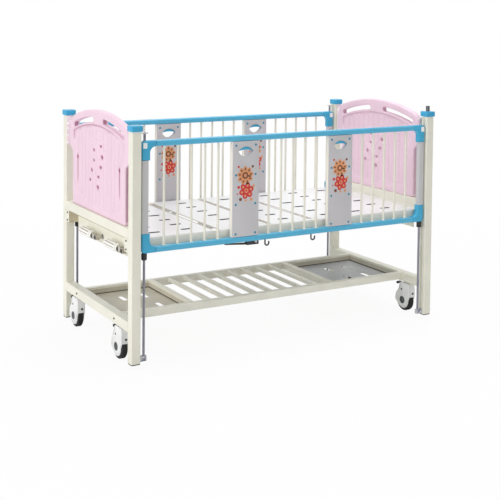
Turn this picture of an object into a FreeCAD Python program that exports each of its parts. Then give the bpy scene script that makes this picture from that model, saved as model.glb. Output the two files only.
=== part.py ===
"""Pediatric hospital cot: two end frames joined by a four-section deck and a storage shelf.

X runs along the bed (foot end with the cranks at -X), Y across it (near side at -Y),
Z up from the floor. The origin is on the floor under the middle of the bed. Lengths in mm.
"""
import os
import math
import FreeCAD
import Part
from FreeCAD import Vector

os.makedirs("parts", exist_ok=True)

# overall sizes
bedLength = 1840.0
bedWidth = 950.0
postTopZ = 1170.0
postBottomZ = 25.0
postSize = 48.0
postWall = 2.0
tubeRadius = 4.0

# clearances
slideGap = 1.0
movingGap = 0.5
shaftClearance = 0.05

# caps and drip-stand socket
capOverhang = 6.0
capSkirt = 23.0
capTop = 6.0
socketRadius = 11.0
socketWall = 2.0
socketAbove = 30.0
socketBelow = 80.0

# end beams and the folded brackets under them
bracketWide = 42.0
bracketTall = 65.0
bracketSetback = 10.0
bracketWall = 3.0
beamSize = 50.0
beamWall = 2.0
lowerBeamZ = 197.0
upperBeamZ = 650.0

# end panels
panelThick = 36.0
panelSetback = 11.0
panelSkin = 4.0
panelEarGap = 27.0
panelEarReach = 42.0
panelRise = 41.0
panelArchRadius = 1150.0
panelShoulder = 54.0
panelStepDrop = 215.0
panelStepTall = 30.0
panelEdge = 7.0
slotInnerEnd = 60.0
slotOuterInset = 54.0
slotDrop = 38.0
slotTall = 27.0
fieldDepth = 3.0
fieldDrop = 80.0
fieldInset = 64.0
fieldLowInset = 58.0
fieldFloor = 28.0
fieldFloorSag = 42.0
earStripThick = 4.0
bossRadius = 8.0
bossCount = 4

# side rails
railTopDrop = 69.0
railTall = 546.0
railBar = 30.0
railEndGap = 9.0
stileWidth = 34.0
stileDepth = 28.0
cornerWidth = 42.0
cornerDepth = 32.0
cornerTall = 96.0
cornerReach = 74.0
cornerFillet = 34.0
barRadius = 6.0
barWall = 1.5
innerPitch = 73.5
stileMargin = 12.0
barsPerGroup = 5
boardWidth = 154.0
boardInner = 214.5
sheetThick = 2.0
boardEdgeTube = 30.0
boardDepth = 27.0
rivetRadius = 4.5
rivetHead = 1.4
rivetInset = 20.0
rivetTopInset = 21.0
rivetPitch = 150.0
rivetRowCount = 4
holeHalf = 43.0
holeDrop = 51.0
holeRise = 23.0
holeSag = 28.0

# guide rods
rodRadius = 6.0
rodTopDrop = 28.0
rodBottomZ = 30.0
bushRadius = 12.0
bushLength = 33.0

# deck
deckTopZ = 622.0
deckSheet = 1.5
deckFlange = 12.0
deckTubeWide = 30.0
deckTubeHigh = 40.0
kneeSeamX = -430.0
thighSeamX = -112.0
backSeamX = 150.0
kneeSeam = 24.0
hingeSeam = 12.0
slotLong = 52.0
slotWide = 10.0
slotRowPitch = 130.0
slotEdge = 80.0
torsionRadius = 10.0

# lifting gear
crankZ = 545.0
backCrankY = 30.0
kneeCrankInset = 109.0
plateThick = 3.0
plateLowZ = 508.0
screwRadius = 8.0
pushRadius = 15.0
pinRadius = 5.0

# shelf
shelfInset = 200.0
shelfRailWide = 30.0
shelfRailHigh = 40.0
shelfTopZ = 222.0
shelfFootCrossX = -485.0
shelfHeadCrossX = 391.0
slatCount = 8
traySlotLong = 88.0
traySlotWide = 26.0
traySlotPitch = 124.0
traySlotY = 100.0

# hooks under the deck
hookX = 145.0
hookDrop = 42.0

# casters
stemInset = 175.0
wheelRadius = 62.5
wheelWidth = 30.0
casterTrail = 20.0

halfL = bedLength / 2.0
halfW = bedWidth / 2.0
railTopZ = postTopZ - railTopDrop
railBottomZ = railTopZ - railTall
rodTopZ = postTopZ - rodTopDrop
panelApexZ = postTopZ + panelRise
postIn = halfL - postSize
postInY = halfW - postSize
postCX = halfL - postSize / 2.0
postCY = halfW - postSize / 2.0
beamCX = halfL - beamSize / 2.0
beamIn = halfL - beamSize
railY = postCY
railEnd = postIn - railEndGap
rodX = railEnd - stileWidth / 2.0
upperBeamLow = upperBeamZ - beamSize / 2.0
upperBeamTop = upperBeamZ + beamSize / 2.0
lowerBeamLow = lowerBeamZ - beamSize / 2.0
capLowZ = postTopZ - capSkirt
stemY = halfW - stemInset
shelfHalf = halfW - shelfInset
plateHalf = postInY - bracketWide
deckHalf = postInY
kneeCrankY = -(postInY - kneeCrankInset)


def planePoint(axis, at, u, v):
    """Point at distance `at` along the axis, with u and v along the other two in X, Y, Z order."""
    if axis == "X":
        return Vector(at, u, v)
    if axis == "Y":
        return Vector(u, at, v)
    return Vector(u, v, at)


def axisVector(axis, length):
    return planePoint(axis, length, 0, 0)


def roundedWire(axis, at, cu, cv, du, dv, r):
    """Rectangle with rounded corners in the plane across the axis."""
    a = du / 2.0
    b = dv / 2.0
    k = r * (1.0 - math.sqrt(0.5))
    corners = [(1, 1), (-1, 1), (-1, -1), (1, -1)]
    edges = []
    last = None
    first = None
    for i, (su, sv) in enumerate(corners):
        alongU = (cu + su * (a - r), cv + sv * b)
        alongV = (cu + su * a, cv + sv * (b - r))
        middle = (cu + su * (a - k), cv + sv * (b - k))
        start, end = (alongV, alongU) if i % 2 == 0 else (alongU, alongV)
        p0 = planePoint(axis, at, *start)
        p1 = planePoint(axis, at, *middle)
        p2 = planePoint(axis, at, *end)
        if last is not None:
            edges.append(Part.LineSegment(last, p0).toShape())
        else:
            first = p0
        edges.append(Part.Arc(p0, p1, p2).toShape())
        last = p2
    edges.append(Part.LineSegment(last, first).toShape())
    return Part.Wire(edges)


def roundedBar(axis, a0, a1, cu, cv, du, dv, r):
    wire = roundedWire(axis, a0, cu, cv, du, dv, r)
    return Part.Face(wire).extrude(axisVector(axis, a1 - a0))


def boxTube(axis, a0, a1, cu, cv, du, dv, wall, r):
    """Open-ended rectangular tube with rounded corners."""
    outer = roundedBar(axis, a0, a1, cu, cv, du, dv, r)
    innerR = max(r - wall, 0.6)
    inner = roundedBar(axis, a0 - 1, a1 + 1, cu, cv, du - 2 * wall, dv - 2 * wall, innerR)
    return outer.cut(inner)


def box(x0, x1, y0, y1, z0, z1):
    return Part.makeBox(x1 - x0, y1 - y0, z1 - z0, Vector(x0, y0, z0))


def rod(axis, a0, a1, u, v, r):
    return Part.makeCylinder(r, a1 - a0, planePoint(axis, a0, u, v), axisVector(axis, 1))


def pipe(axis, a0, a1, u, v, r, bore):
    return rod(axis, a0, a1, u, v, r).cut(rod(axis, a0 - 1, a1 + 1, u, v, bore))


def polyFace(axis, at, points):
    pts = [planePoint(axis, at, u, v) for u, v in points]
    return Part.Face(Part.makePolygon(pts + [pts[0]]))


def slotCutter(cx, cy, z0, z1, length, width):
    """Slot with round ends, long along X."""
    return roundedBar("Z", z0, z1, cx, cy, length, width, width / 2.0 - 0.01)


def mirrorX(shape):
    return shape.mirror(Vector(0, 0, 0), Vector(1, 0, 0))


def mirrorY(shape):
    return shape.mirror(Vector(0, 0, 0), Vector(0, 1, 0))


def bothX(shapes):
    return shapes + [mirrorX(s) for s in shapes]


def bothY(shapes):
    return shapes + [mirrorY(s) for s in shapes]


def save(name, shapes):
    """Write the pieces of one node, each as a solid of its own."""
    solids = []
    for shape in shapes:
        solids += shape.Solids
    body = solids[0] if len(solids) == 1 else Part.makeCompound(solids)
    body.exportStep("parts/" + name + ".step")
    print(name, len(solids))


# ---------------------------------------------------------------- end frames
posts = []
caps = []
for sx in (-1, 1):
    for sy in (-1, 1):
        post = boxTube("Z", postBottomZ, postTopZ, sx * postCX, sy * postCY,
                       postSize, postSize, postWall, tubeRadius)
        posts.append(post)
        capSize = postSize + 2 * capOverhang
        cap = roundedBar("Z", capLowZ, postTopZ + capTop, sx * postCX, sy * postCY,
                         capSize, capSize, 9.0)
        topEdges = [e for e in cap.Edges if abs(e.BoundBox.ZMin - (postTopZ + capTop)) < 0.01]
        cap = cap.makeFillet(4.0, topEdges)
        seat = roundedBar("Z", capLowZ - 1, postTopZ, sx * postCX, sy * postCY,
                          postSize, postSize, tubeRadius)
        cap = cap.cut(seat)
        if sx > 0 and sy < 0:
            cap = cap.cut(rod("Z", postTopZ - 1, postTopZ + capTop + 1, sx * postCX, sy * postCY,
                              socketRadius))
        caps.append(cap)
save("posts", posts)
save("post_caps", caps)

socket = pipe("Z", postTopZ - socketBelow, postTopZ + capTop + socketAbove, postCX, -postCY,
              socketRadius, socketRadius - socketWall)
save("iv_socket", [socket])

lowerBeams = []
for sx in (-1, 1):
    beam = boxTube("Y", -postInY, postInY, sx * beamCX, lowerBeamZ, beamSize, beamSize,
                   beamWall, tubeRadius)
    for sy in (-1, 1):
        beam = beam.cut(rod("Z", lowerBeamLow - 1, lowerBeamLow + beamWall + 1,
                            sx * beamCX, sy * stemY, 12.0))
    lowerBeams.append(beam)
save("lower_beams", lowerBeams)

upperBeams = []
for sx in (-1, 1):
    upperBeams.append(boxTube("Y", -postInY, postInY, sx * beamCX, upperBeamZ,
                              beamSize, beamSize, beamWall, tubeRadius))
save("upper_beams", upperBeams)

# folded corner brackets that carry the deck frame under each end of an upper beam
bracketLow = upperBeamLow - bracketTall
bracketEnd = postIn - bracketSetback
boltRows = [upperBeamLow - 11.0, bracketLow + 12.0]
boltY = (postInY + plateHalf) / 2.0
bracket = box(-halfL, -bracketEnd, plateHalf, postInY, bracketLow, upperBeamLow)
bracket = bracket.cut(box(-halfL + bracketWall, -bracketEnd + 1, plateHalf + bracketWall, postInY - bracketWall,
                          bracketLow - 1, upperBeamLow - bracketWall))
brackets = bothY(bothX([bracket]))
save("beam_brackets", brackets)


def boltHead(x, y, z, direction):
    head = Part.makeCylinder(5.0, 2.5, Vector(x, y, z), Vector(direction, 0, 0))
    crown = Part.makeCone(5.0, 3.2, 1.5, Vector(x + direction * 2.5, y, z), Vector(direction, 0, 0))
    return head.fuse(crown).removeSplitter()


bolts = []
for z in boltRows:
    bolts += bothY([boltHead(-halfL, boltY, z, -1)])
    bolts += bothY([boltHead(halfL, boltY, z, 1)])
shelfBoltY = shelfHalf - shelfRailWide / 2.0
bolts += bothY([boltHead(-halfL, shelfBoltY, lowerBeamZ, -1)])
bolts += bothY([boltHead(halfL, shelfBoltY, lowerBeamZ, 1)])
save("frame_bolts", bolts)

# ---------------------------------------------------------------- end panels
panelHalfEar = postInY - panelEarGap
panelHalfLow = panelHalfEar - panelEarReach
panelStepHigh = panelApexZ - panelStepDrop
panelStepLow = panelStepHigh - panelStepTall
panelFront = -halfL + panelSetback
panelBack = panelFront + panelThick
archCentreZ = panelApexZ - panelArchRadius


def archZ(y, drop):
    """Height of the arch at y, on the circle that lies `drop` inside the top outline."""
    return archCentreZ + math.sqrt((panelArchRadius - drop) ** 2 - y * y)


def archArc(x, y0, y1, drop):
    middle = (y0 + y1) / 2.0
    ends = [Vector(x, y, archZ(y, drop)) for y in (y0, middle, y1)]
    return Part.Arc(*ends).toShape()


def chain(x, points):
    """Straight edges through (y, z) points in the plane at x."""
    pts = [Vector(x, y, z) for y, z in points]
    return [Part.LineSegment(a, b).toShape() for a, b in zip(pts[:-1], pts[1:])]


def panelSlab(x0, x1, inset):
    """Arched slab with stepped-in sides, its corners rounded, drawn in by `inset` all round."""
    ear = panelHalfEar - inset
    low = panelHalfLow - inset
    base = upperBeamTop + inset
    sides = [(ear, archZ(ear, inset)), (ear, panelStepHigh), (low, panelStepLow), (low, base),
             (-low, base), (-low, panelStepLow), (-ear, panelStepHigh), (-ear, archZ(ear, inset))]
    wire = Part.Wire([archArc(x0, -ear, ear, inset)] + chain(x0, sides))
    slab = Part.Face(wire).extrude(Vector(x1 - x0, 0, 0))
    across = [e for e in slab.Edges if e.BoundBox.XLength > (x1 - x0) - 0.01]
    shoulders = [e for e in across if e.BoundBox.ZMin > panelStepHigh + 1]
    slab = slab.makeFillet(panelShoulder - inset, shoulders)
    steps = [e for e in slab.Edges if e.BoundBox.XLength > (x1 - x0) - 0.01
             and (abs(e.BoundBox.ZMin - panelStepHigh) < 1 or abs(e.BoundBox.ZMin - panelStepLow) < 1)]
    return slab.makeFillet(14.0, steps)


def handSlot(x0, x1, grow):
    """Hand slot that follows the arch on the +Y side, with round ends."""
    upper = slotDrop - grow
    lower = slotDrop + slotTall + grow
    y0 = slotInnerEnd + slotTall / 2.0
    y1 = panelHalfEar - slotOuterInset - slotTall / 2.0
    tilt = y1 / panelArchRadius
    outerY = y1 + (slotTall / 2.0 + grow) * math.cos(tilt)
    outerZ = archZ(y1, slotDrop + slotTall / 2.0) - (slotTall / 2.0 + grow) * math.sin(tilt)
    innerY = y0 - slotTall / 2.0 - grow
    lowY1 = y1 - slotTall * math.sin(tilt)
    outerEnd = Part.Arc(Vector(x0, y1, archZ(y1, upper)), Vector(x0, outerY, outerZ),
                        Vector(x0, lowY1, archZ(lowY1, lower))).toShape()
    innerMiddle = Vector(x0, innerY, archZ(y0, slotDrop + slotTall / 2.0))
    innerEnd = Part.Arc(Vector(x0, y0, archZ(y0, lower)), innerMiddle,
                        Vector(x0, y0, archZ(y0, upper))).toShape()
    wire = Part.Wire([archArc(x0, y0, y1, upper), outerEnd, archArc(x0, lowY1, y0, lower), innerEnd])
    return Part.Face(wire).extrude(Vector(x1 - x0, 0, 0))


def fieldCut(x0, x1):
    """Recessed field: arched top, straight sides that step in, curved bottom line."""
    wide = panelHalfEar - fieldInset
    narrow = panelHalfLow - fieldLowInset
    lowZ = upperBeamTop + fieldFloor + fieldFloorSag
    sides = [(wide, archZ(wide, fieldDrop)), (wide, panelStepHigh + 25.0),
             (narrow, panelStepLow + 10.0), (narrow, lowZ)]
    mirrored = [(-y, z) for y, z in sides[::-1]]
    bottomMiddle = Vector(x0, 0, lowZ - fieldFloorSag)
    bottom = Part.Arc(Vector(x0, narrow, lowZ), bottomMiddle, Vector(x0, -narrow, lowZ)).toShape()
    wire = Part.Wire([archArc(x0, -wide, wide, fieldDrop)] + chain(x0, sides) + [bottom] + chain(x0, mirrored))
    return Part.Face(wire).extrude(Vector(x1 - x0, 0, 0))


panel = panelSlab(panelFront, panelBack, 0.0)
for slot in bothY([handSlot(panelFront - 1, panelBack + 1, 0.0)]):
    panel = panel.cut(slot)
rims = []
for x in (panelFront, panelBack):
    rims += [e for e in panel.Edges if abs(e.BoundBox.XMin - x) < 0.01 and e.BoundBox.XLength < 0.01
             and e.BoundBox.ZMax > upperBeamTop + 1]
outerRims = [e for e in rims if e.BoundBox.ZMax > panelApexZ - 20 or e.BoundBox.YLength < 60
             and abs(e.BoundBox.Center.y) > panelHalfLow - 20
             and e.BoundBox.Center.z < archZ(panelHalfLow, slotDrop + slotTall)]
panel = panel.makeFillet(panelEdge, outerRims)
skinIn = panelSkin + fieldDepth
hollow = panelSlab(panelFront + skinIn, panelBack - skinIn, panelEdge + panelSkin)
for slot in bothY([handSlot(panelFront - 1, panelBack + 1, panelSkin)]):
    hollow = hollow.cut(slot)
panel = panel.cut(hollow)
panel = panel.cut(fieldCut(panelFront - 1, panelFront + fieldDepth))
panel = panel.cut(fieldCut(panelBack - fieldDepth, panelBack + 1))
save("foot_panel", [panel])
save("head_panel", [mirrorX(panel)])

# slim strips with screw bosses that fix each ear of a panel to its post
earLow = panelStepHigh + 8.0
earHigh = archZ(panelHalfEar, 0.0) - panelShoulder + 6.0
earX = panelFront + 14.0
strip = box(earX, earX + earStripThick, panelHalfEar, postInY, earLow, earHigh)
for i in range(bossCount):
    z = earLow + (earHigh - earLow) * (i + 0.5) / bossCount
    strip = strip.fuse(rod("X", earX - 4.0, earX, (panelHalfEar + postInY) / 2.0, z, bossRadius))
save("ear_brackets", bothY(bothX([strip.removeSplitter()])))

# ---------------------------------------------------------------- guide rods
rodParts = []
for sx in (-1, 1):
    guide = rod("Z", rodBottomZ, rodTopZ, sx * rodX, -railY, rodRadius)
    clampIn = rodX - 14.0
    clamp = box(min(sx * clampIn, sx * postIn), max(sx * clampIn, sx * postIn),
                -railY - 11, -railY + 11, postBottomZ + 5, postBottomZ + 29)
    vertical = [e for e in clamp.Edges if e.BoundBox.ZLength > 20 and abs(e.BoundBox.XMin - sx * clampIn) < 0.1]
    clamp = clamp.makeFillet(7.0, vertical)
    clamp = clamp.cut(guide)
    clip = box(min(sx * clampIn, sx * postIn), max(sx * clampIn, sx * postIn),
               -railY - 9, -railY + 9, rodTopZ - 8, rodTopZ - 2)
    clip = clip.cut(guide)
    rodParts += [guide, clamp, clip]
save("guide_rods", bothY(rodParts))


# ---------------------------------------------------------------- side rails
def cornerMoulding(topSide):
    """Moulded elbow at the -X end: upright leg, arm along the rail and a rounded inside corner."""
    x0 = -railEnd
    x1 = -railEnd + cornerWidth
    x2 = -railEnd + cornerReach
    if topSide:
        zFar, zBar, zEnd, s = railTopZ, railTopZ - railBar, railTopZ - cornerTall, -1
    else:
        zFar, zBar, zEnd, s = railBottomZ, railBottomZ + railBar, railBottomZ + cornerTall, 1
    y0 = -railY - cornerDepth / 2.0
    r = min(cornerFillet, x2 - x1 - 1, cornerTall - railBar - 1)
    k = r * (1 - math.sqrt(0.5))
    pts = [(x0, zFar), (x0, zEnd), (x1, zEnd), (x1, zBar + s * r)]
    edges = []
    for a, b in zip(pts[:-1], pts[1:]):
        edges.append(Part.LineSegment(Vector(a[0], y0, a[1]), Vector(b[0], y0, b[1])).toShape())
    edges.append(Part.Arc(Vector(x1, y0, zBar + s * r), Vector(x1 + k, y0, zBar + s * k),
                          Vector(x1 + r, y0, zBar)).toShape())
    rest = [(x1 + r, zBar), (x2, zBar), (x2, zFar), (x0, zFar)]
    for a, b in zip(rest[:-1], rest[1:]):
        edges.append(Part.LineSegment(Vector(a[0], y0, a[1]), Vector(b[0], y0, b[1])).toShape())
    block = Part.Face(Part.Wire(edges)).extrude(Vector(0, cornerDepth, 0))
    rounded = [e for e in block.Edges if abs(e.BoundBox.YLength - cornerDepth) < 0.01
               and abs(e.BoundBox.XMin - x0) < 0.01]
    block = block.makeFillet(5.0, [e for e in rounded if abs(e.BoundBox.ZMin - zFar) < 0.01])
    outlineEdges = [e for e in block.Edges if abs(e.BoundBox.YMax - e.BoundBox.YMin) < 0.01
                    and (abs(e.BoundBox.ZMin - zFar) < 5.1 or abs(e.BoundBox.XMin - x0) < 5.1
                         or abs(e.BoundBox.ZMax - zFar) < 5.1)]
    block = block.makeFillet(3.0, outlineEdges)
    bore = rod("Z", min(zFar, zEnd) - 1, max(zFar, zEnd) + 1, -rodX, -railY, rodRadius + slideGap)
    return block.cut(bore)


corners = bothX([cornerMoulding(True), cornerMoulding(False)])
save("near_rail_corners", corners)
save("far_rail_corners", [mirrorY(s) for s in corners])

barEnd = railEnd - cornerReach
stileInner = railEnd - stileWidth
topBarZ = railTopZ - railBar / 2.0
lowBarZ = railBottomZ + railBar / 2.0
topRail = boxTube("X", -barEnd, barEnd, -railY, topBarZ, railBar, railBar, 2.0, 8.0)
lowRail = boxTube("X", -barEnd, barEnd, -railY, lowBarZ, railBar, railBar, 2.0, 8.0)
stiles = []
for sx in (-1, 1):
    stiles.append(boxTube("Z", railBottomZ + cornerTall, railTopZ - cornerTall, sx * rodX, -railY,
                          stileWidth, stileDepth, 1.5, 3.0))
railFrame = [topRail, lowRail] + stiles
save("near_rail_frame", railFrame)
save("far_rail_frame", [mirrorY(s) for s in railFrame])

barLowZ = railBottomZ + railBar
barTopZ = railTopZ - railBar
boardOuter = boardInner + boardWidth
outerPitch = (stileInner - boardOuter - stileMargin) / (barsPerGroup + 1)
barXs = []
half = barsPerGroup // 2
for i in range(-half, half + 1):
    barXs.append(i * innerPitch)
for i in range(barsPerGroup):
    x = boardOuter + (i + 1) * outerPitch
    barXs += [-x, x]
bars = [pipe("Z", barLowZ, barTopZ, x, -railY, barRadius, barRadius - barWall) for x in sorted(barXs)]
save("near_rail_bars", bars)
save("far_rail_bars", [mirrorY(s) for s in bars])


holeSideZ = barTopZ - holeDrop
holeTopZ = holeSideZ + holeRise
holeLowZ = holeSideZ - holeSag
rivetRows = [barTopZ - rivetTopInset - i * rivetPitch for i in range(rivetRowCount)]


def handHole(cx, y0, y1, grow):
    """Hand hole: arched above, deeper round below."""
    left = Vector(cx - holeHalf - grow, y0, holeSideZ)
    right = Vector(cx + holeHalf + grow, y0, holeSideZ)
    up = Part.Arc(left, Vector(cx, y0, holeTopZ + grow), right).toShape()
    down = Part.Arc(right, Vector(cx, y0, holeLowZ - grow), left).toShape()
    return Part.Face(Part.Wire([up, down])).extrude(Vector(0, y1 - y0, 0))


boardFront = -railY - boardDepth / 2.0
boardBack = -railY + boardDepth / 2.0
boards = []
rivets = []
triggers = {}
for side, cx in (("foot", -(boardInner + boardOuter) / 2.0), ("head", (boardInner + boardOuter) / 2.0)):
    hole = handHole(cx, boardFront - 1, boardBack + 1, 0.0)
    for y0 in (boardFront, boardBack - sheetThick):
        sheet = box(cx - boardWidth / 2.0, cx + boardWidth / 2.0, y0, y0 + sheetThick, barLowZ, barTopZ)
        boards.append(sheet.cut(hole))
    for sx in (-1, 1):
        edgeX = cx + sx * (boardWidth - boardEdgeTube) / 2.0
        boards.append(boxTube("Z", barLowZ, barTopZ, edgeX, -railY, boardEdgeTube,
                              boardDepth - 2 * sheetThick, 1.5, 2.0))
        for z in rivetRows:
            rx = cx + sx * (boardWidth / 2.0 - rivetInset)
            rivets.append(rod("Y", boardFront - rivetHead, boardFront, rx, z, rivetRadius))
            rivets.append(rod("Y", boardBack, boardBack + rivetHead, rx, z, rivetRadius))
    # crescent grip that is pulled up inside the hand hole to free the rail
    gripHalf = holeHalf - 1.5
    gripDepth = boardDepth - 2 * sheetThick - 2 * movingGap - 2.0
    y0 = -railY - gripDepth / 2.0
    left = Vector(cx - gripHalf, y0, holeSideZ + 1)
    right = Vector(cx + gripHalf, y0, holeSideZ + 1)
    outerArc = Part.Arc(left, Vector(cx, y0, holeTopZ - 1), right).toShape()
    innerArc = Part.Arc(right, Vector(cx, y0, holeTopZ - 16), left).toShape()
    crescent = Part.Face(Part.Wire([outerArc, innerArc])).extrude(Vector(0, gripDepth, 0))
    carrierHalf = boardWidth / 2.0 - boardEdgeTube - 2 * shaftClearance
    carrier = box(cx - carrierHalf, cx + carrierHalf, -railY - 5, -railY + 5, holeTopZ - 13, holeTopZ + 3)
    triggers[side] = crescent.fuse(carrier).removeSplitter()
save("near_rail_boards", boards)
save("far_rail_boards", [mirrorY(s) for s in boards])
save("near_rail_rivets", rivets)
save("far_rail_rivets", [mirrorY(s) for s in rivets])
for side in ("foot", "head"):
    save("near_trigger_" + side, [triggers[side]])
    save("far_trigger_" + side, [mirrorY(triggers[side])])

bushes = []
for sx in (-1, 1):
    lowBush = pipe("Z", railBottomZ - bushLength, railBottomZ, sx * rodX, -railY, bushRadius,
                   rodRadius + 2 * shaftClearance)
    highBush = pipe("Z", railTopZ - cornerTall - 16.0, railTopZ - cornerTall, sx * rodX, -railY, bushRadius,
                    rodRadius + 2 * shaftClearance)
    bushes += [lowBush, highBush]
save("near_rail_bushes", bushes)
save("far_rail_bushes", [mirrorY(s) for s in bushes])

# ---------------------------------------------------------------- deck frame
tubeTopZ = deckTopZ - deckSheet - slideGap
tubeZ = tubeTopZ - deckTubeHigh / 2.0
tubeOuterY = deckHalf - deckSheet - 1.5
tubeY = tubeOuterY - deckTubeWide / 2.0
tubeInY = tubeOuterY - deckTubeWide
frameEnd = bracketEnd
backHingeX = backSeamX + 22.0
backHingeZ = deckTopZ - 22.0
thighHingeX = thighSeamX - 10.0
thighHingeZ = deckTopZ - 18.0
kneeHingeX = kneeSeamX
kneeHingeZ = deckTopZ - 16.0
crossWide = 30.0
crossHigh = 40.0
seatCrossHeadX = backSeamX - hingeSeam / 2.0 - 24.0
seatCrossFootX = thighSeamX + hingeSeam / 2.0 + 20.0
lugThick = 6.0
lugNose = 14.0
lugInset = 93.5
lugYs = [-(tubeInY - lugInset), tubeInY - lugInset]

deckFrame = bothY([boxTube("X", -frameEnd, frameEnd, tubeY, tubeZ, deckTubeWide, deckTubeHigh, 1.5, 3.0)])
endCross = boxTube("Y", -tubeInY, tubeInY, -frameEnd + crossWide / 2.0, tubeZ, crossWide, deckTubeHigh,
                   1.5, 3.0)
deckFrame += bothX([endCross])
seatCrossTop = deckTopZ - deckSheet
for cx in (seatCrossHeadX, seatCrossFootX):
    deckFrame.append(boxTube("Y", -tubeInY, tubeInY, cx, seatCrossTop - crossHigh / 2.0,
                             crossWide, crossHigh, 1.5, 3.0))


def lug(crossX, side, y, hingeX, hingeZ):
    """Hinge plate that hooks under a cross tube and ends in a round nose about its pivot hole."""
    face = crossX + side * crossWide / 2.0
    crossLow = seatCrossTop - crossHigh
    topZ = hingeZ - 12.0
    lowZ = crossLow - 14.0
    points = [(crossX, lowZ), (crossX, crossLow), (face, crossLow), (face, topZ), (hingeX, topZ),
              (hingeX, hingeZ - lugNose), (hingeX - side * 8.0, lowZ)]
    plate = polyFace("Y", y - lugThick / 2.0, points).extrude(Vector(0, lugThick, 0))
    nose = rod("Y", y - lugThick / 2.0, y + lugThick / 2.0, hingeX, hingeZ, lugNose)
    hole = rod("Y", y - lugThick, y + lugThick, hingeX, hingeZ, torsionRadius + shaftClearance)
    return plate.fuse(nose).cut(hole).removeSplitter()


for y in lugYs:
    deckFrame.append(lug(seatCrossHeadX, 1, y, backHingeX, backHingeZ))
    deckFrame.append(lug(seatCrossFootX, -1, y, thighHingeX, thighHingeZ))

# bearing blocks for the two lifting screws behind the crank plate
blockLow = crankZ - 22.0
for y in (backCrankY, kneeCrankY):
    block = box(-frameEnd, -frameEnd + crossWide, y - 22, y + 22, blockLow, tubeZ - deckTubeHigh / 2.0)
    bore = rod("X", -frameEnd - 1, -frameEnd + crossWide + 1, y, crankZ, screwRadius + shaftClearance)
    block = block.cut(bore)
    deckFrame.append(block)
save("deck_frame", deckFrame)

crankPlate = box(-frameEnd - plateThick, -frameEnd, -plateHalf, plateHalf, plateLowZ, upperBeamLow)
for y in (backCrankY, kneeCrankY):
    bore = rod("X", -frameEnd - plateThick - 1, -frameEnd + 1, y, crankZ, screwRadius + 6.0)
    crankPlate = crankPlate.cut(bore)
headPlate = box(frameEnd, frameEnd + plateThick, -plateHalf, plateHalf, plateLowZ, upperBeamLow)
save("end_plates", [crankPlate, headPlate])


# ---------------------------------------------------------------- deck sections
rowCount = 2 * int((deckHalf - slotEdge + slotRowPitch / 2.0) // slotRowPitch)
slotRows = [(i - (rowCount - 1) / 2.0) * slotRowPitch for i in range(rowCount)]


def deckPan(x0, x1, slotXs):
    """Pressed sheet section with turned-down long edges and ventilation slots."""
    sheet = box(x0, x1, -deckHalf, deckHalf, deckTopZ - deckSheet, deckTopZ)
    sheet = sheet.fuse(box(x0, x1, -deckHalf, -deckHalf + deckSheet, deckTopZ - deckFlange, deckTopZ))
    sheet = sheet.fuse(box(x0, x1, deckHalf - deckSheet, deckHalf, deckTopZ - deckFlange, deckTopZ))
    sheet = sheet.removeSplitter()
    cutters = [slotCutter(x, y, deckTopZ - deckSheet - 1, deckTopZ + 1, slotLong, slotWide)
               for x in slotXs for y in slotRows]
    return sheet.cut(Part.makeCompound(cutters))


def stringer(x0, x1, y, width, high):
    """Stiffening rib welded under a moving section."""
    top = deckTopZ - deckSheet
    return box(x0, x1, y - width / 2.0, y + width / 2.0, top - high, top)


footPanX = -frameEnd + 2.0
headPanX = frameEnd - 2.0
legPan = deckPan(footPanX, kneeSeamX - kneeSeam / 2.0, [-735.0, -555.0])
thighPan = deckPan(kneeSeamX + kneeSeam / 2.0, thighSeamX - hingeSeam / 2.0, [-265.0])
seatPan = deckPan(thighSeamX + hingeSeam / 2.0, backSeamX - hingeSeam / 2.0, [19.0])
backPan = deckPan(backSeamX + hingeSeam / 2.0, headPanX, [290.0, 495.0, 700.0])
save("deck_seat", [seatPan])


def notched(pan, x0, x1):
    """Clears the two corners of a moving sheet that would dip into the side tubes as it lifts."""
    inner = tubeInY - 1.5
    for y0, y1 in ((-deckHalf - 1, -inner), (inner, deckHalf + 1)):
        pan = pan.cut(box(x0, x1, y0, y1, deckTopZ - deckFlange - 1, deckTopZ + 1))
    return pan


backPan = notched(backPan, backSeamX, backHingeX + 16.0)
thighPan = notched(thighPan, thighHingeX - 8.0, thighSeamX)


def lever(y, hingeX, hingeZ, tipX, tipZ, width):
    """Flat lifting lever from a torsion tube to a stub pin at its tip."""
    dx = tipX - hingeX
    dz = tipZ - hingeZ
    length = math.hypot(dx, dz)
    nx = -dz / length
    nz = dx / length
    h = width / 2.0
    pts = [(hingeX + nx * h, hingeZ + nz * h), (tipX + nx * h, tipZ + nz * h),
           (tipX - nx * h, tipZ - nz * h), (hingeX - nx * h, hingeZ - nz * h)]
    plate = polyFace("Y", y - 3.0, pts).extrude(Vector(0, 6.0, 0))
    tipEye = rod("Y", y - 3.0, y + 3.0, tipX, tipZ, h)
    root = rod("Y", y - 3.0, y + 3.0, hingeX, hingeZ, h)
    pin = rod("Y", y - 16.0, y + 16.0, tipX, tipZ, pinRadius)
    body = plate.fuse([tipEye, root, pin]).removeSplitter()
    return body.cut(rod("Y", y - 20, y + 20, hingeX, hingeZ, torsionRadius))


backLeverR = 66.0
backLeverRest = 35.0
backTipX = backHingeX - backLeverR * math.sin(math.radians(backLeverRest))
backTipZ = backHingeZ - backLeverR * math.cos(math.radians(backLeverRest))
thighLeverR = 90.0
thighLeverRest = 18.0
thighSwing = 30.0
thighTipX = thighHingeX - thighLeverR * math.sin(math.radians(thighLeverRest))
thighTipZ = thighHingeZ - thighLeverR * math.cos(math.radians(thighLeverRest))

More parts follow.
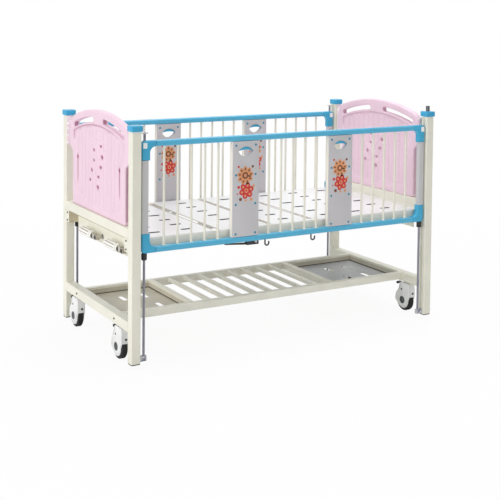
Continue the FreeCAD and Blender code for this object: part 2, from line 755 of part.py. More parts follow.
gussetTop = deckTopZ - deckSheet
torsionHalf = tubeInY - 63.5
backTube = rod("Y", -torsionHalf, torsionHalf, backHingeX, backHingeZ, torsionRadius)
thighTube = rod("Y", -torsionHalf, torsionHalf, thighHingeX, thighHingeZ, torsionRadius)
ribInset = 123.5
ribYs = [-(tubeInY - ribInset), -160.0, 160.0, tubeInY - ribInset]


def section(tubeX, tubeZ2, x0, x1, tube):
    """Ribs that tie a section's sheet to its torsion tube."""
    parts = []
    for y in ribYs:
        rib = stringer(x0, x1, y, 8.0, gussetTop - tubeZ2 + 6.0)
        parts.append(rib.cut(tube))
    return parts


backParts = [backPan, backTube]
backParts += section(backHingeX, backHingeZ, backHingeX, headPanX - 60.0, backTube)
backParts.append(lever(backCrankY, backHingeX, backHingeZ, backTipX, backTipZ, 18.0))
save("deck_back", backParts)

thighRibEnd = kneeSeamX + kneeSeam / 2.0 + 14.0
thighParts = [thighPan, thighTube]
thighParts += section(thighHingeX, thighHingeZ, thighRibEnd, thighHingeX, thighTube)
thighParts.append(lever(kneeCrankY, thighHingeX, thighHingeZ, thighTipX, thighTipZ, 18.0))
# knee lugs reach under the seam and carry the hinge pins of the leg section
kneeLugInset = 143.5
kneeLugYs = [-(tubeInY - kneeLugInset), tubeInY - kneeLugInset]
for y in kneeLugYs:
    plate = box(kneeHingeX - 9.0, thighRibEnd + 30.0, y - 3.0, y + 3.0, kneeHingeZ - 9.0, gussetTop)
    trim = box(kneeHingeX - 30.0, kneeSeamX + kneeSeam / 2.0, y - 4, y + 4, kneeHingeZ + 9.0, gussetTop + 5)
    plate = plate.cut(trim)
    plate = plate.fuse(rod("Y", y - 3.0, y + 19.0, kneeHingeX, kneeHingeZ, pinRadius)).removeSplitter()
    thighParts.append(plate)
save("deck_thigh", thighParts)

legParts = [legPan]
for y in kneeLugYs:
    eyeY0 = y + 8.0
    plate = box(kneeSeamX - kneeSeam / 2.0 - 60.0, kneeHingeX + 9.0, eyeY0, eyeY0 + 6.0,
                kneeHingeZ - 9.0, gussetTop)
    plate = plate.cut(box(kneeSeamX - kneeSeam / 2.0, kneeHingeX + 30.0, eyeY0 - 1, eyeY0 + 7,
                          kneeHingeZ + 9.0, gussetTop + 5))
    plate = plate.cut(rod("Y", eyeY0 - 1, eyeY0 + 7, kneeHingeX, kneeHingeZ, pinRadius + shaftClearance))
    legParts.append(plate)
for y in (-160.0, 160.0):
    legParts.append(stringer(footPanX + 60.0, kneeSeamX - kneeSeam / 2.0 - 20.0, y, 8.0, 14.0))
save("deck_leg", legParts)


# ---------------------------------------------------------------- lifting screws
def screw(y, endX):
    """Lifting screw: journal in the bearing block, collar and plain shank."""
    shank = rod("X", -frameEnd - plateThick - 2.0, endX, y, crankZ, screwRadius)
    collar = rod("X", -frameEnd + crossWide + movingGap, -frameEnd + crossWide + 10.0, y, crankZ, 14.0)
    stop = rod("X", -frameEnd - plateThick - 2.0, -frameEnd - movingGap, y, crankZ, 13.0)
    return shank.fuse([collar, stop]).removeSplitter()


def pushTube(y, x0, tipX, tipZ, lowTravel, highTravel, slotHalf):
    """Nut tube with a forked end; the lever's pin rides in the upright slots of the fork."""
    forkBack = tipX - 30.0
    tube = pipe("X", x0, forkBack, y, crankZ, pushRadius, screwRadius + slideGap)
    z0 = tipZ - lowTravel - pinRadius - 10.0
    z1 = max(tipZ + highTravel + pinRadius + 10.0, crankZ + 12.0)
    parts = [tube]
    for s in (-1, 1):
        y0 = y + s * 6.0 if s > 0 else y - 12.0
        plate = box(forkBack - 24.0, tipX + slotHalf + 9.0, y0, y0 + 6.0, z0, z1)
        slot = box(tipX - slotHalf, tipX + slotHalf, y0 - 1, y0 + 7,
                   tipZ - lowTravel - pinRadius - 2.0, tipZ + highTravel + pinRadius + 2.0)
        plate = plate.cut(slot)
        plate = plate.cut(rod("X", forkBack - 30.0, forkBack, y, crankZ, pushRadius))
        parts.append(plate)
    block = box(forkBack, forkBack + 8.0, y - 6.0, y + 6.0, crankZ - 8.0, crankZ + 8.0)
    parts.append(block)
    return parts


backScrewEnd = thighSeamX - 218.0
kneeScrewEnd = kneeSeamX - 130.0
nutOverlap = 140.0
save("back_screw", [screw(backCrankY, backScrewEnd)])
save("knee_screw", [screw(kneeCrankY, kneeScrewEnd)])
backDrop = backLeverR * (1 - math.cos(math.radians(backLeverRest)))
backTube = pushTube(backCrankY, backScrewEnd - nutOverlap, backTipX, backTipZ,
                    backDrop, 0.0, pinRadius + 3.0)
save("back_push_tube", backTube)
thighRise = thighLeverR * (math.cos(math.radians(thighLeverRest))
                           - math.cos(math.radians(thighLeverRest + thighSwing)))
kneeTube = pushTube(kneeCrankY, kneeScrewEnd - nutOverlap + 60.0, thighTipX, thighTipZ,
                    0.0, thighRise, pinRadius + 3.5)
save("knee_push_tube", kneeTube)


# ---------------------------------------------------------------- cranks
hubX = -halfL + 24.0
hubRadius = 14.0
armLength = 46.0
neckLength = 32.0
collarRadius = 17.5
gripRadius = 19.0
gripLength = 98.0


def crankArm(y):
    """Hub on the crank shaft with a flat arm and a forked end for the folding spindle."""
    hub = rod("X", hubX - 12.0, hubX + 12.0, y, crankZ, hubRadius)
    stub = rod("X", hubX + 12.0, -frameEnd - plateThick - 2.0 - movingGap, y, crankZ, screwRadius)
    arm = box(hubX - 8.0, hubX + 8.0, y + 6.0, y + armLength - 16.0, crankZ - 10.0, crankZ + 10.0)
    cheeks = []
    for z0 in (crankZ - 15.0, crankZ + 9.0):
        cheek = box(hubX - 10.0, hubX + 10.0, y + armLength - 22.0, y + armLength, z0, z0 + 6.0)
        cheek = cheek.fuse(rod("Z", z0, z0 + 6.0, hubX, y + armLength, 10.0))
        cheek = cheek.cut(rod("Z", z0 - 1, z0 + 7, hubX, y + armLength, 4.0 + shaftClearance))
        cheeks.append(cheek)
    web = box(hubX - 10.0, hubX + 10.0, y + armLength - 22.0, y + armLength - 16.0,
              crankZ - 15.0, crankZ + 15.0)
    return hub.fuse([stub, arm, web] + cheeks).removeSplitter()


def crankSpindle(y):
    """Folding knuckle with its pin, and the rod the grip turns on."""
    py = y + armLength
    knuckle = rod("Z", crankZ - 8.5, crankZ + 8.5, hubX, py, 9.5)
    pin = rod("Z", crankZ - 15.0, crankZ + 15.0, hubX, py, 4.0)
    neck = rod("Y", py, py + neckLength, hubX, crankZ, 8.0)
    collar = rod("Y", py + 12.0, py + neckLength, hubX, crankZ, collarRadius)
    spindle = rod("Y", py + neckLength - 2.0, py + neckLength + gripLength - 6.0, hubX, crankZ, 6.0)
    return knuckle.fuse([pin, neck, collar, spindle]).removeSplitter()


def crankGrip(y):
    """Ribbed sleeve that spins on the spindle."""
    y0 = y + armLength + neckLength + movingGap
    body = rod("Y", y0, y0 + gripLength, hubX, crankZ, gripRadius)
    tipEdges = [e for e in body.Edges if abs(e.BoundBox.YMin - (y0 + gripLength)) < 0.1
                and e.BoundBox.YLength < 0.1]
    body = body.makeFillet(5.0, tipEdges)
    for i in range(10):
        a = 2 * math.pi * i / 10.0
        cut = rod("Y", y0 + 12.0, y0 + gripLength - 14.0, hubX + math.cos(a) * (gripRadius + 1.5),
                  crankZ + math.sin(a) * (gripRadius + 1.5), 3.0)
        body = body.cut(cut)
    return body.cut(rod("Y", y0 - 1, y0 + gripLength - 6.0, hubX, crankZ, 6.0 + shaftClearance))


for name, y in (("back", backCrankY), ("knee", kneeCrankY)):
    save(name + "_crank_arm", [crankArm(y)])
    save(name + "_crank_spindle", [crankSpindle(y)])
    save(name + "_crank_grip", [crankGrip(y)])

# ---------------------------------------------------------------- shelf
shelfRailY = shelfHalf - shelfRailWide / 2.0
shelfInY = shelfHalf - shelfRailWide
shelfRailZ = shelfTopZ - shelfRailHigh / 2.0
shelfParts = bothY([boxTube("X", -beamIn, beamIn, shelfRailY, shelfRailZ,
                            shelfRailWide, shelfRailHigh, 1.5, 3.0)])
for cx in (shelfFootCrossX, shelfHeadCrossX):
    shelfParts.append(boxTube("Y", -shelfInY, shelfInY, cx, shelfRailZ, 30.0, shelfRailHigh, 1.5, 3.0))
save("shelf_frame", shelfParts)

slats = []
slatSpan = (shelfHeadCrossX - 15.0) - (shelfFootCrossX + 15.0)
for i in range(slatCount):
    x = shelfFootCrossX + 15.0 + slatSpan * (i + 1) / (slatCount + 1)
    slats.append(boxTube("Y", -shelfInY, shelfInY, x, shelfTopZ - 10.0, 20.0, 18.0, 1.2, 2.0))
save("shelf_slats", slats)


def shelfTray(x0, x1, slots):
    """Pressed tray between a lower beam and a shelf crosspiece, with drain slots and a round boss."""
    floorZ = shelfTopZ - shelfRailHigh
    tray = box(x0, x1, -shelfInY, shelfInY, floorZ, floorZ + 28.0)
    tray = tray.cut(box(x0 + 1.5, x1 - 1.5, -shelfInY + 1.5, shelfInY - 1.5, floorZ + 1.5, floorZ + 40.0))
    for sx, sy in slots:
        drain = slotCutter(sx, sy, floorZ - 1, floorZ + 5, traySlotLong, traySlotWide)
        drain.rotate(Vector(sx, sy, 0), Vector(0, 0, 1), 90)
        tray = tray.cut(drain)
    return tray


trayX0 = -beamIn
trayX1 = shelfFootCrossX - 15.0
footSlotX = trayX0 + 150.0
headSlotX = beamIn - 130.0
footSlots = [(x, y) for x in (footSlotX, footSlotX + traySlotPitch) for y in (-traySlotY, traySlotY)]
headSlots = [(x, y) for x in (headSlotX, headSlotX - traySlotPitch) for y in (-traySlotY, traySlotY)]
footTray = shelfTray(trayX0, trayX1, footSlots)
headTray = shelfTray(shelfHeadCrossX + 15.0, beamIn, headSlots)
save("shelf_trays", [footTray, headTray])


# ---------------------------------------------------------------- utility hooks
def hook(x):
    """Bent wire hook under a deck side tube."""
    r = 2.5
    bend = 9.0
    y = -tubeY
    top = tubeTopZ - deckTubeHigh
    low = top - hookDrop
    path = [Part.LineSegment(Vector(x, y, top), Vector(x, y, low)).toShape(),
            Part.Arc(Vector(x, y, low), Vector(x + bend, y, low - bend),
                     Vector(x + 2 * bend, y, low)).toShape(),
            Part.LineSegment(Vector(x + 2 * bend, y, low), Vector(x + 2 * bend, y, low + 12.0)).toShape()]
    ring = Part.Wire([Part.makeCircle(r, Vector(x, y, top), Vector(0, 0, 1))])
    return Part.Wire(path).makePipeShell([ring], True, False)


save("utility_hooks", bothY([hook(-hookX), hook(hookX)]))

# ---------------------------------------------------------------- casters
stemFlangeLow = lowerBeamLow - 6.0
housingTop = stemFlangeLow - movingGap
stemPin = 8.0
stems = []
for sx in (-1, 1):
    for sy in (-1, 1):
        x = sx * beamCX
        y = sy * stemY
        stem = rod("Z", lowerBeamLow, lowerBeamLow + beamSize - beamWall, x, y, 12.0)
        flange = rod("Z", stemFlangeLow, lowerBeamLow, x, y, 21.0)
        king = rod("Z", housingTop - 26.0, stemFlangeLow, x, y, stemPin)
        stems.append(stem.fuse([flange, king]).removeSplitter())
save("caster_stems", stems)

coverHalf = 23.0
wheelGap = 1.5
fenderR = wheelRadius + 9.0
coverR = wheelRadius - 6.0
wheelCY = casterTrail
wheelCZ = wheelRadius
pedalY = 30.0
pedalZ = housingTop - 15.0
pedalReach = 46.0
pedalSink = 24.0
notchHalf = 13.0
axleR = 5.0


def placeCaster(shape, x, y):
    placed = shape.copy()
    placed.translate(Vector(x, y, 0))
    return placed


def casterHousing():
    """Moulded hood: fender over the tread, side covers around the axle, neck up to the stem."""
    fender = rod("X", -coverHalf, coverHalf, wheelCY, wheelCZ, fenderR)
    fender = fender.cut(box(-coverHalf - 1, coverHalf + 1, wheelCY - 200, wheelCY, -50, wheelCZ + 8.0))
    fender = fender.cut(box(-coverHalf - 1, coverHalf + 1, wheelCY - 1, wheelCY + 200, -50, wheelCZ - 22.0))
    covers = rod("X", -coverHalf, coverHalf, wheelCY, wheelCZ, coverR)
    neckProfile = [(wheelCY - 64.0, wheelCZ + 20.0), (-42.0, housingTop - 30.0), (-37.0, housingTop - 10.0),
                   (-27.0, housingTop), (36.0, housingTop), (54.0, housingTop - 8.0),
                   (68.0, housingTop - 28.0), (80.0, wheelCZ + 50.0), (wheelCY + 66.0, wheelCZ + 22.0)]
    neck = polyFace("X", -coverHalf, neckProfile).extrude(Vector(2 * coverHalf, 0, 0))
    hood = fender.fuse([covers, neck]).removeSplitter()
    hood = hood.common(roundedBar("Z", -10, housingTop, 0, wheelCY, 2 * coverHalf, 220.0, 16.0))
    pocketHalf = wheelWidth / 2.0 + wheelGap
    hood = hood.cut(rod("X", -pocketHalf, pocketHalf, wheelCY, wheelCZ, wheelRadius + 3.0))
    opening = box(-pocketHalf, pocketHalf, wheelCY - 100, wheelCY - 20, -10, wheelCZ + 8.0)
    hood = hood.cut(opening)
    hood = hood.cut(rod("Z", housingTop - 27.0, housingTop + 1, 0, 0, stemPin + shaftClearance))
    notchProfile = [(pedalY - 9.0, pedalZ - 9.0), (pedalY + 10.0, pedalZ - 9.0),
                    (pedalY + 60.0, pedalZ - pedalSink), (pedalY + 60.0, housingTop + 1.0),
                    (pedalY - 9.0, housingTop + 1.0)]
    hood = hood.cut(polyFace("X", -notchHalf, notchProfile).extrude(Vector(2 * notchHalf, 0, 0)))
    hood = hood.cut(rod("X", -coverHalf - 1, coverHalf + 1, pedalY, pedalZ, 2.5 + shaftClearance))
    hood = hood.fuse(rod("X", -coverHalf, coverHalf, wheelCY, wheelCZ, axleR))
    hubs = [rod("X", -coverHalf - 2.5, -coverHalf, wheelCY, wheelCZ, 21.0),
            rod("X", coverHalf, coverHalf + 2.5, wheelCY, wheelCZ, 21.0)]
    return [hood] + hubs


def casterWheel():
    """Wheel with a crowned tread, turned about its axle."""
    h = wheelWidth / 2.0
    profile = [(axleR + shaftClearance, -h), (18.0, -h), (22.0, -h + 4), (46.0, -h + 4), (50.0, -h),
               (wheelRadius - 5.0, -h), (wheelRadius, -h + 6.0), (wheelRadius, h - 6.0),
               (wheelRadius - 5.0, h), (50.0, h), (46.0, h - 4), (22.0, h - 4), (18.0, h),
               (axleR + shaftClearance, h)]
    pts = [Vector(x, wheelCY + r, wheelCZ) for r, x in profile]
    face = Part.Face(Part.makePolygon(pts + [pts[0]]))
    return face.revolve(Vector(0, wheelCY, wheelCZ), Vector(1, 0, 0), 360)


def casterPedal():
    """Foot lever of the wheel brake with its pivot pin."""
    plate = box(-11.0, 11.0, pedalY, pedalY + pedalReach, pedalZ - 3.0, pedalZ + 4.0)
    root = rod("X", -12.0, 12.0, pedalY, pedalZ, 7.0)
    pin = rod("X", -coverHalf + 3.0, coverHalf - 3.0, pedalY, pedalZ, 2.5)
    lip = rod("X", -11.0, 11.0, pedalY + pedalReach, pedalZ + 0.5, 5.0)
    eye = box(-5.0, 5.0, pedalY + 18.0, pedalY + 32.0, pedalZ - 10, pedalZ + 10)
    return plate.fuse([root, pin, lip]).cut(eye).removeSplitter()


hood = casterHousing()
wheel = casterWheel()
pedal = casterPedal()
casterPlaces = [("foot_near", -1, -1), ("foot_far", -1, 1), ("head_near", 1, -1), ("head_far", 1, 1)]
for name, sx, sy in casterPlaces:
    x = sx * beamCX
    y = sy * stemY
    save("caster_" + name + "_hood", [placeCaster(s, x, y) for s in hood])
    save("caster_" + name + "_wheel", [placeCaster(wheel, x, y)])
    save("caster_" + name + "_pedal", [placeCaster(pedal, x, y)])
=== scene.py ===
import math
import bpy
import bmesh
import numpy as np
from mathutils import Matrix, Vector
from mathutils.geometry import delaunay_2d_cdt, tessellate_polygon


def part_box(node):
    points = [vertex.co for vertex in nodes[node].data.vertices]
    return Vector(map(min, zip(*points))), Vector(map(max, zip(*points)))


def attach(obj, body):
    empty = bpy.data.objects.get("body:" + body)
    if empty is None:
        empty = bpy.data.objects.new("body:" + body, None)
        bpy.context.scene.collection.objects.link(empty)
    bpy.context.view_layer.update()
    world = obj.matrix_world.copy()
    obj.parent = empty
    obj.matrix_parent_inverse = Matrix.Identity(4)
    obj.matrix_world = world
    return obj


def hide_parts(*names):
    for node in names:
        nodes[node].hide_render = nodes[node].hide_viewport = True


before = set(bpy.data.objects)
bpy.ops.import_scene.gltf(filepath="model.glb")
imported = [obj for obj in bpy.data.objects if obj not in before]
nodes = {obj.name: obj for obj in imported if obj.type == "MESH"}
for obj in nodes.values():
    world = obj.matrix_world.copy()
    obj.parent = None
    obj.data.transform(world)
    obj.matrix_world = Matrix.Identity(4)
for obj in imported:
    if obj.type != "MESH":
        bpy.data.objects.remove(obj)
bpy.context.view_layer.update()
signs = (-1, 1)
print("frame loaded:", len(nodes), "nodes")


def arc(cu, cv, r, start, end, count):
    # points at equal angles round a centre, angles in degrees
    t = np.radians(np.linspace(start, end, count))
    return np.stack([cu + r * np.cos(t), cv + r * np.sin(t)], 1)


def arcThrough(p, q, s, count):
    # circle through three points: the centre is where the two bisectors meet
    p, q, s = np.array(p, float), np.array(q, float), np.array(s, float)
    m = 2 * np.array([q - p, s - p])
    c = np.linalg.solve(m, [q @ q - p @ p, s @ s - p @ p])
    a = [math.atan2(*(k - c)[::-1]) for k in (p, q, s)]
    turn = 2 * math.pi
    if (a[1] - a[0]) % turn < (a[2] - a[0]) % turn:
        t = a[0] + np.linspace(0, (a[2] - a[0]) % turn, count)
    else:
        t = a[0] - np.linspace(0, (a[0] - a[2]) % turn, count)
    r = np.linalg.norm(p - c)
    return np.stack([c[0] + r * np.cos(t), c[1] + r * np.sin(t)], 1)


def ellipse(cu, cv, a, b, tilt, count=20):
    # cosine and sine scaled by the half axes, turned by the tilt
    t = np.linspace(0, 2 * math.pi, count, endpoint=False)
    u, v = a * np.cos(t), b * np.sin(t)
    return np.stack([cu + u * math.cos(tilt) - v * math.sin(tilt), cv + u * math.sin(tilt) + v * math.cos(tilt)], 1)


def roundRect(cu, cv, wide, high, r, steps=5):
    # four quarter circles joined by straight sides, anticlockwise
    a, b = wide / 2 - r, high / 2 - r
    return np.concatenate([arc(cu + a, cv + b, r, 0, 90, steps), arc(cu - a, cv + b, r, 90, 180, steps),
                           arc(cu - a, cv - b, r, 180, 270, steps), arc(cu + a, cv - b, r, 270, 360, steps)])


def roundCorners(points, radii, steps=5):
    # each corner of a polygon becomes an arc that touches its two sides
    out = []
    points = np.array(points, float)
    for i, r in enumerate(radii):
        p, a, b = points[i], points[i - 1], points[(i + 1) % len(points)]
        u, v = (a - p) / np.linalg.norm(a - p), (b - p) / np.linalg.norm(b - p)
        half = math.acos(max(-1, min(1, u @ v))) / 2
        if r <= 0 or half > 1.55:
            out.append(p[None])
            continue
        d = r / math.tan(half)
        w = (u + v) / np.linalg.norm(u + v)
        middle = p + w * (r / math.sin(half) - r)
        out.append(arcThrough(p + u * d, middle, p + v * d, steps))
    return np.concatenate(out)


def anticlockwise(loop, yes=True):
    # the sign of the shoelace area gives the direction
    u, v = loop[:, 0], loop[:, 1]
    area = np.sum(u * np.roll(v, -1) - np.roll(u, -1) * v)
    return loop if (area > 0) == yes else loop[::-1]


def inset(loop, s):
    # every point moves left of its direction along the mean of its two sides' normals
    back = loop - np.roll(loop, 1, 0)
    ahead = np.roll(loop, -1, 0) - loop
    nb, na = (np.stack([-q[:, 1], q[:, 0]], 1) for q in (back, ahead))
    nb, na = (q / np.maximum(np.linalg.norm(q, axis=1, keepdims=True), 1e-12) for q in (nb, na))
    share = np.maximum(1 + np.sum(na * nb, 1, keepdims=True), 0.35)
    return loop + s * (na + nb) / share


def onAxis(axis, uv, depth):
    # a flat outline and a depth become points: X takes (Y, Z), Y takes (X, Z), Z takes (X, Y)
    d = np.broadcast_to(np.asarray(depth, float), uv.shape[:1])
    order = {"X": (d, uv[:, 0], uv[:, 1]), "Y": (uv[:, 0], d, uv[:, 1]), "Z": (uv[:, 0], uv[:, 1], d)}
    return np.stack(order[axis], 1)


def gridFaces(rows, cols, wrapRows=False, start=0):
    # each row of points is joined to the next row by four-sided faces
    index = start + np.arange(rows * cols).reshape(rows, cols)
    a = index if wrapRows else index[:-1]
    b = np.roll(index, -1, 0) if wrapRows else index[1:]
    return np.stack([a, np.roll(a, -1, 1), np.roll(b, -1, 1), b], -1).reshape(-1, 4).tolist()


def closedRows(rows):
    # rows of points joined in their order, with a flat face over the first row and the last
    n, points = len(rows[0]), np.concatenate(rows)
    last = len(points) - n
    return points, gridFaces(len(rows), n) + [list(range(n)), list(range(last, last + n))]


def pillow(axis, outer, near, far, roll=0.0, holes=(), steps=4):
    # outline carried along the axis, set in by roll(1 - sin t) at depth roll(1 - cos t) at both ends,
    # which rounds every rim, also those of the holes; each end is closed by a flat face
    near, far = min(near, far), max(near, far)
    t = np.linspace(0, math.pi / 2, steps) if roll > 0 else np.array([math.pi / 2])
    ins, drop = roll * (1 - np.sin(t)), roll * (1 - np.cos(t))
    ins = np.concatenate([ins, ins[::-1]])
    depth = np.concatenate([near + drop, (far - drop)[::-1]])
    points, faces, ends = [], [], ([], [])
    start = 0
    for k, loop in enumerate([outer] + list(holes)):
        loop = anticlockwise(loop, k == 0)
        rows = [onAxis(axis, inset(loop, s), d) for s, d in zip(ins, depth)]
        faces += gridFaces(len(rows), len(loop), start=start)
        ends[0].append(np.arange(start, start + len(loop)))
        ends[1].append(ends[0][-1] + (len(rows) - 1) * len(loop))
        points += rows
        start += len(rows) * len(loop)
    points = np.concatenate(points)
    for loops in ends:
        index = np.concatenate(loops)
        if len(loops) == 1:
            faces.append(index.tolist())
        else:
            flat = [[Vector(points[i]) for i in loop] for loop in loops]
            faces += [[int(index[i]) for i in tri] for tri in tessellate_polygon(flat)]
    return points, faces


def slab(axis, cu, cv, wide, high, corner, near, far, roll=0.0, holes=()):
    # rectangle with round corners carried along the axis
    return pillow(axis, roundRect(cu, cv, wide, high, corner), near, far, roll, holes)


def circles(axis, cu, cv, profile, count):
    # one circle for each (radius, place along the axis)
    t = np.linspace(0, 2 * math.pi, count, endpoint=False)
    return [onAxis(axis, np.stack([cu + r * np.cos(t), cv + r * np.sin(t)], 1), d) for r, d in profile]


def turned(axis, cu, cv, profile, count=32):
    # open profile carried once round, with a flat face at both ends
    return closedRows(circles(axis, cu, cv, profile, count))


def ringRound(axis, cu, cv, profile, count=64):
    # closed profile carried once round
    rows = circles(axis, cu, cv, profile, count)
    return np.concatenate(rows), gridFaces(len(rows), count, wrapRows=True)


def tubeAlong(path, radius, count=12):
    # circle carried along a path, square to its direction at each point
    path = np.array(path, float)
    ahead = np.gradient(path, axis=0)
    ahead /= np.linalg.norm(ahead, axis=1, keepdims=True)
    side = np.zeros_like(ahead)
    last = np.array([0.0, 0.0, 1.0]) if abs(ahead[0][2]) < 0.9 else np.array([1.0, 0.0, 0.0])
    for i, a in enumerate(ahead):
        last = last - a * (a @ last)
        last /= np.linalg.norm(last)
        side[i] = last
    other = np.cross(ahead, side)
    t = np.linspace(0, 2 * math.pi, count, endpoint=False)
    ring = radius * (np.cos(t)[None, :, None] * side[:, None] + np.sin(t)[None, :, None] * other[:, None])
    return closedRows(list(path[:, None] + ring))


def flipped(part, axis):
    # mirror image across the plane through the origin: one coordinate changes its sign
    points = part[0].copy()
    points[:, "XYZ".index(axis)] *= -1
    return (points,) + tuple(part[1:])


def makePiece(name, parts, finishes, body, stands=(), sharp=32.0, shade=None):
    # joins parts of (points, faces, finish number, tint) in one mesh, merges doubles, turns faces outwards
    mesh = bpy.data.meshes.new(name)
    points, faces, marks, tints = [], [], [], []
    start = 0
    for part in parts:
        points.append(part[0])
        faces += [[i + start for i in f] for f in part[1]]
        marks += [part[2] if len(part) > 2 else 0] * len(part[1])
        tints.append(part[3] if len(part) > 3 else np.zeros(len(part[0])))
        start += len(part[0])
    mesh.from_pydata(np.concatenate(points).tolist(), [], faces)
    mesh.polygons.foreach_set("material_index", np.array(marks, np.int32))
    if shade:
        tint = mesh.attributes.new(shade, "FLOAT", "POINT")
        tint.data.foreach_set("value", np.concatenate(tints).astype(np.float32))
    b = bmesh.new()
    b.from_mesh(mesh)
    bmesh.ops.remove_doubles(b, verts=b.verts, dist=1e-6)
    bmesh.ops.dissolve_degenerate(b, edges=b.edges, dist=1e-7)
    bmesh.ops.recalc_face_normals(b, faces=b.faces)
    b.to_mesh(mesh)
    b.free()
    mesh.polygons.foreach_set("use_smooth", np.ones(len(mesh.polygons), bool))
    mesh.set_sharp_from_angle(angle=math.radians(sharp))
    piece = bpy.data.objects.new(name, mesh)
    bpy.context.scene.collection.objects.link(piece)
    for f in finishes:
        mesh.materials.append(f)
    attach(piece, body)
    if stands:
        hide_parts(*stands)
    return piece


def tone(r, g, b):
    # screen colour 0-255 to the linear value that the shader wants
    c = np.array([r, g, b]) / 255.0
    c = np.where(c <= 0.04045, c / 12.92, ((c + 0.055) / 1.055) ** 2.4)
    return (float(c[0]), float(c[1]), float(c[2]), 1.0)


def fill(tree, node, sockets):
    # a socket takes a link or a plain value
    for key, value in sockets.items():
        if isinstance(value, bpy.types.NodeSocket):
            tree.links.new(value, node.inputs[key])
        else:
            node.inputs[key].default_value = value
    return node


def addNode(tree, kind, sockets={}, **settings):
    # new shader node with its settings first and then its sockets
    node = tree.nodes.new("ShaderNode" + kind)
    for key, value in settings.items():
        setattr(node, key, value)
    return fill(tree, node, sockets)


def finish(name, colour, rough=0.4, mottle=0.06, patch=7.0, grain=420.0, bump=0.12, metal=0.0, coat=0.0,
           speck=None, tint=None):
    # two noises at different scales: the broad one shades the colour, the fine one varies gloss and relief
    material = bpy.data.materials.new(name)
    material.use_nodes = True
    tree = material.node_tree
    place = addNode(tree, "TexCoord").outputs["Object"]
    broad = addNode(tree, "TexNoise", {"Vector": place, "Scale": patch, "Detail": 3.0}).outputs["Fac"]
    fine = addNode(tree, "TexNoise", {"Vector": place, "Scale": grain, "Detail": 4.0}).outputs["Fac"]
    base = tone(*colour)
    ramp = addNode(tree, "ValToRGB", {"Fac": broad})
    low, high = ramp.color_ramp.elements
    low.position, high.position = 0.3, 0.62
    low.color, high.color = tuple(c * (1 - 2 * mottle) for c in base[:3]) + (1.0,), base
    result = ramp.outputs["Color"]
    blends = []
    if speck:
        # the middle of each small cell turns to the speck colour
        cells = addNode(tree, "TexVoronoi", {"Vector": place, "Scale": speck["scale"]})
        near = addNode(tree, "MapRange", {"Value": cells.outputs["Distance"], "From Min": speck["size"],
                                          "From Max": speck["size"] * 0.7, "To Max": speck["share"]})
        blends.append((near.outputs["Result"], speck["colour"]))
    if tint:
        # the piece's own attribute blends a darker second colour into hollows and grooves: painted shade
        mark = addNode(tree, "Attribute", attribute_name=tint["name"])
        blends.append((mark.outputs["Fac"], tint["colour"]))
    for share, other in blends:
        mix = addNode(tree, "Mix", {"Factor": share, "A": result, "B": tone(*other)}, data_type="RGBA")
        result = mix.outputs["Result"]
    gloss = addNode(tree, "MapRange", {"Value": fine, "To Min": max(0.04, rough - 0.08), "To Max": rough + 0.10})
    relief = addNode(tree, "Bump", {"Height": fine, "Strength": bump, "Distance": 0.0004})
    fill(tree, tree.nodes["Principled BSDF"],
         {"Base Color": result, "Roughness": gloss.outputs["Result"], "Normal": relief.outputs["Normal"],
          "Metallic": metal, "Coat Weight": coat, "Coat Roughness": 0.12})
    material.diffuse_color = base
    return material


cream = finish("creamEnamel", (240, 238, 222), rough=0.34, mottle=0.03, bump=0.10, coat=0.15)
deckWhite = finish("deckEnamel", (242, 243, 243), rough=0.38, mottle=0.02, coat=0.1)
# brighter, warmer cream for the deck pans' side faces: painted light
flangeLitCream = finish("flangeLitEnamel", (255, 250, 240), mottle=0.03)
seamBeige = finish("seamStrip", (196, 190, 180), rough=0.5, mottle=0.05)
trayGrey = finish("headTrayEnamel", (206, 208, 210), mottle=0.08,
                  speck={"scale": 190.0, "size": 0.36, "share": 0.5, "colour": (140, 142, 146)})
# cream enamel of the deck frame tubes, lifted nearly to white: partly painted light against the shade between rail
# and deck
tubeLitBeige = finish("tubeEnamel", (254, 248, 234), rough=0.42, mottle=0.04)
# near-black for the deck slots' lips and rims: painted shade
slotShade = finish("slotEdgeShade", (30, 32, 38), rough=0.85, mottle=0.08)
shelfCream = finish("shelfEnamel", (250, 247, 232), mottle=0.04, coat=0.1)
trayPale = finish("trayEnamel", (222, 216, 198), rough=0.46,
                  speck={"scale": 210.0, "size": 0.33, "share": 0.35, "colour": (150, 148, 140)})
# pink moulding; its shade attribute blends in a darker pink: painted shade in the hollows
pink = finish("pinkMoulding", (239, 209, 224), rough=0.42, mottle=0.02, grain=520, bump=0.08,
              tint={"name": "roseShade", "colour": (150, 62, 106)})
blue = finish("blueEnamel", (80, 184, 222), rough=0.3, mottle=0.03, grain=480, bump=0.08, coat=0.25)
blueMoulded = finish("blueMoulding", (60, 176, 216), rough=0.33, mottle=0.03, grain=520, bump=0.14, coat=0.15)
blueCap = finish("tealCap", (50, 170, 216), rough=0.32, mottle=0.04, grain=520, bump=0.14, coat=0.15)
greyCoat = finish("greyExtrusion", (205, 204, 205), rough=0.36, mottle=0.03, grain=400)
laminate = finish("boardLaminate", (206, 204, 206), mottle=0.03, grain=600, bump=0.08)
blackMoulded = finish("blackMoulding", (34, 34, 36), rough=0.45, mottle=0.1, grain=500, bump=0.3)
chrome = finish("chromePlate", (214, 214, 216), rough=0.16, mottle=0.04, patch=18, grain=300, bump=0.03, metal=1.0)
rodPlate = finish("rodPlate", (150, 150, 162), rough=0.2, mottle=0.1, patch=22, grain=300, bump=0.03, metal=0.85)
armGrey = finish("crankArmCoat", (188, 182, 166), rough=0.42, mottle=0.08)
zinc = finish("zincSteel", (176, 178, 180), rough=0.34, mottle=0.12, patch=45, grain=380, metal=0.9)
tread = finish("wheelTread", (36, 36, 38), rough=0.62, mottle=0.15, bump=0.5)
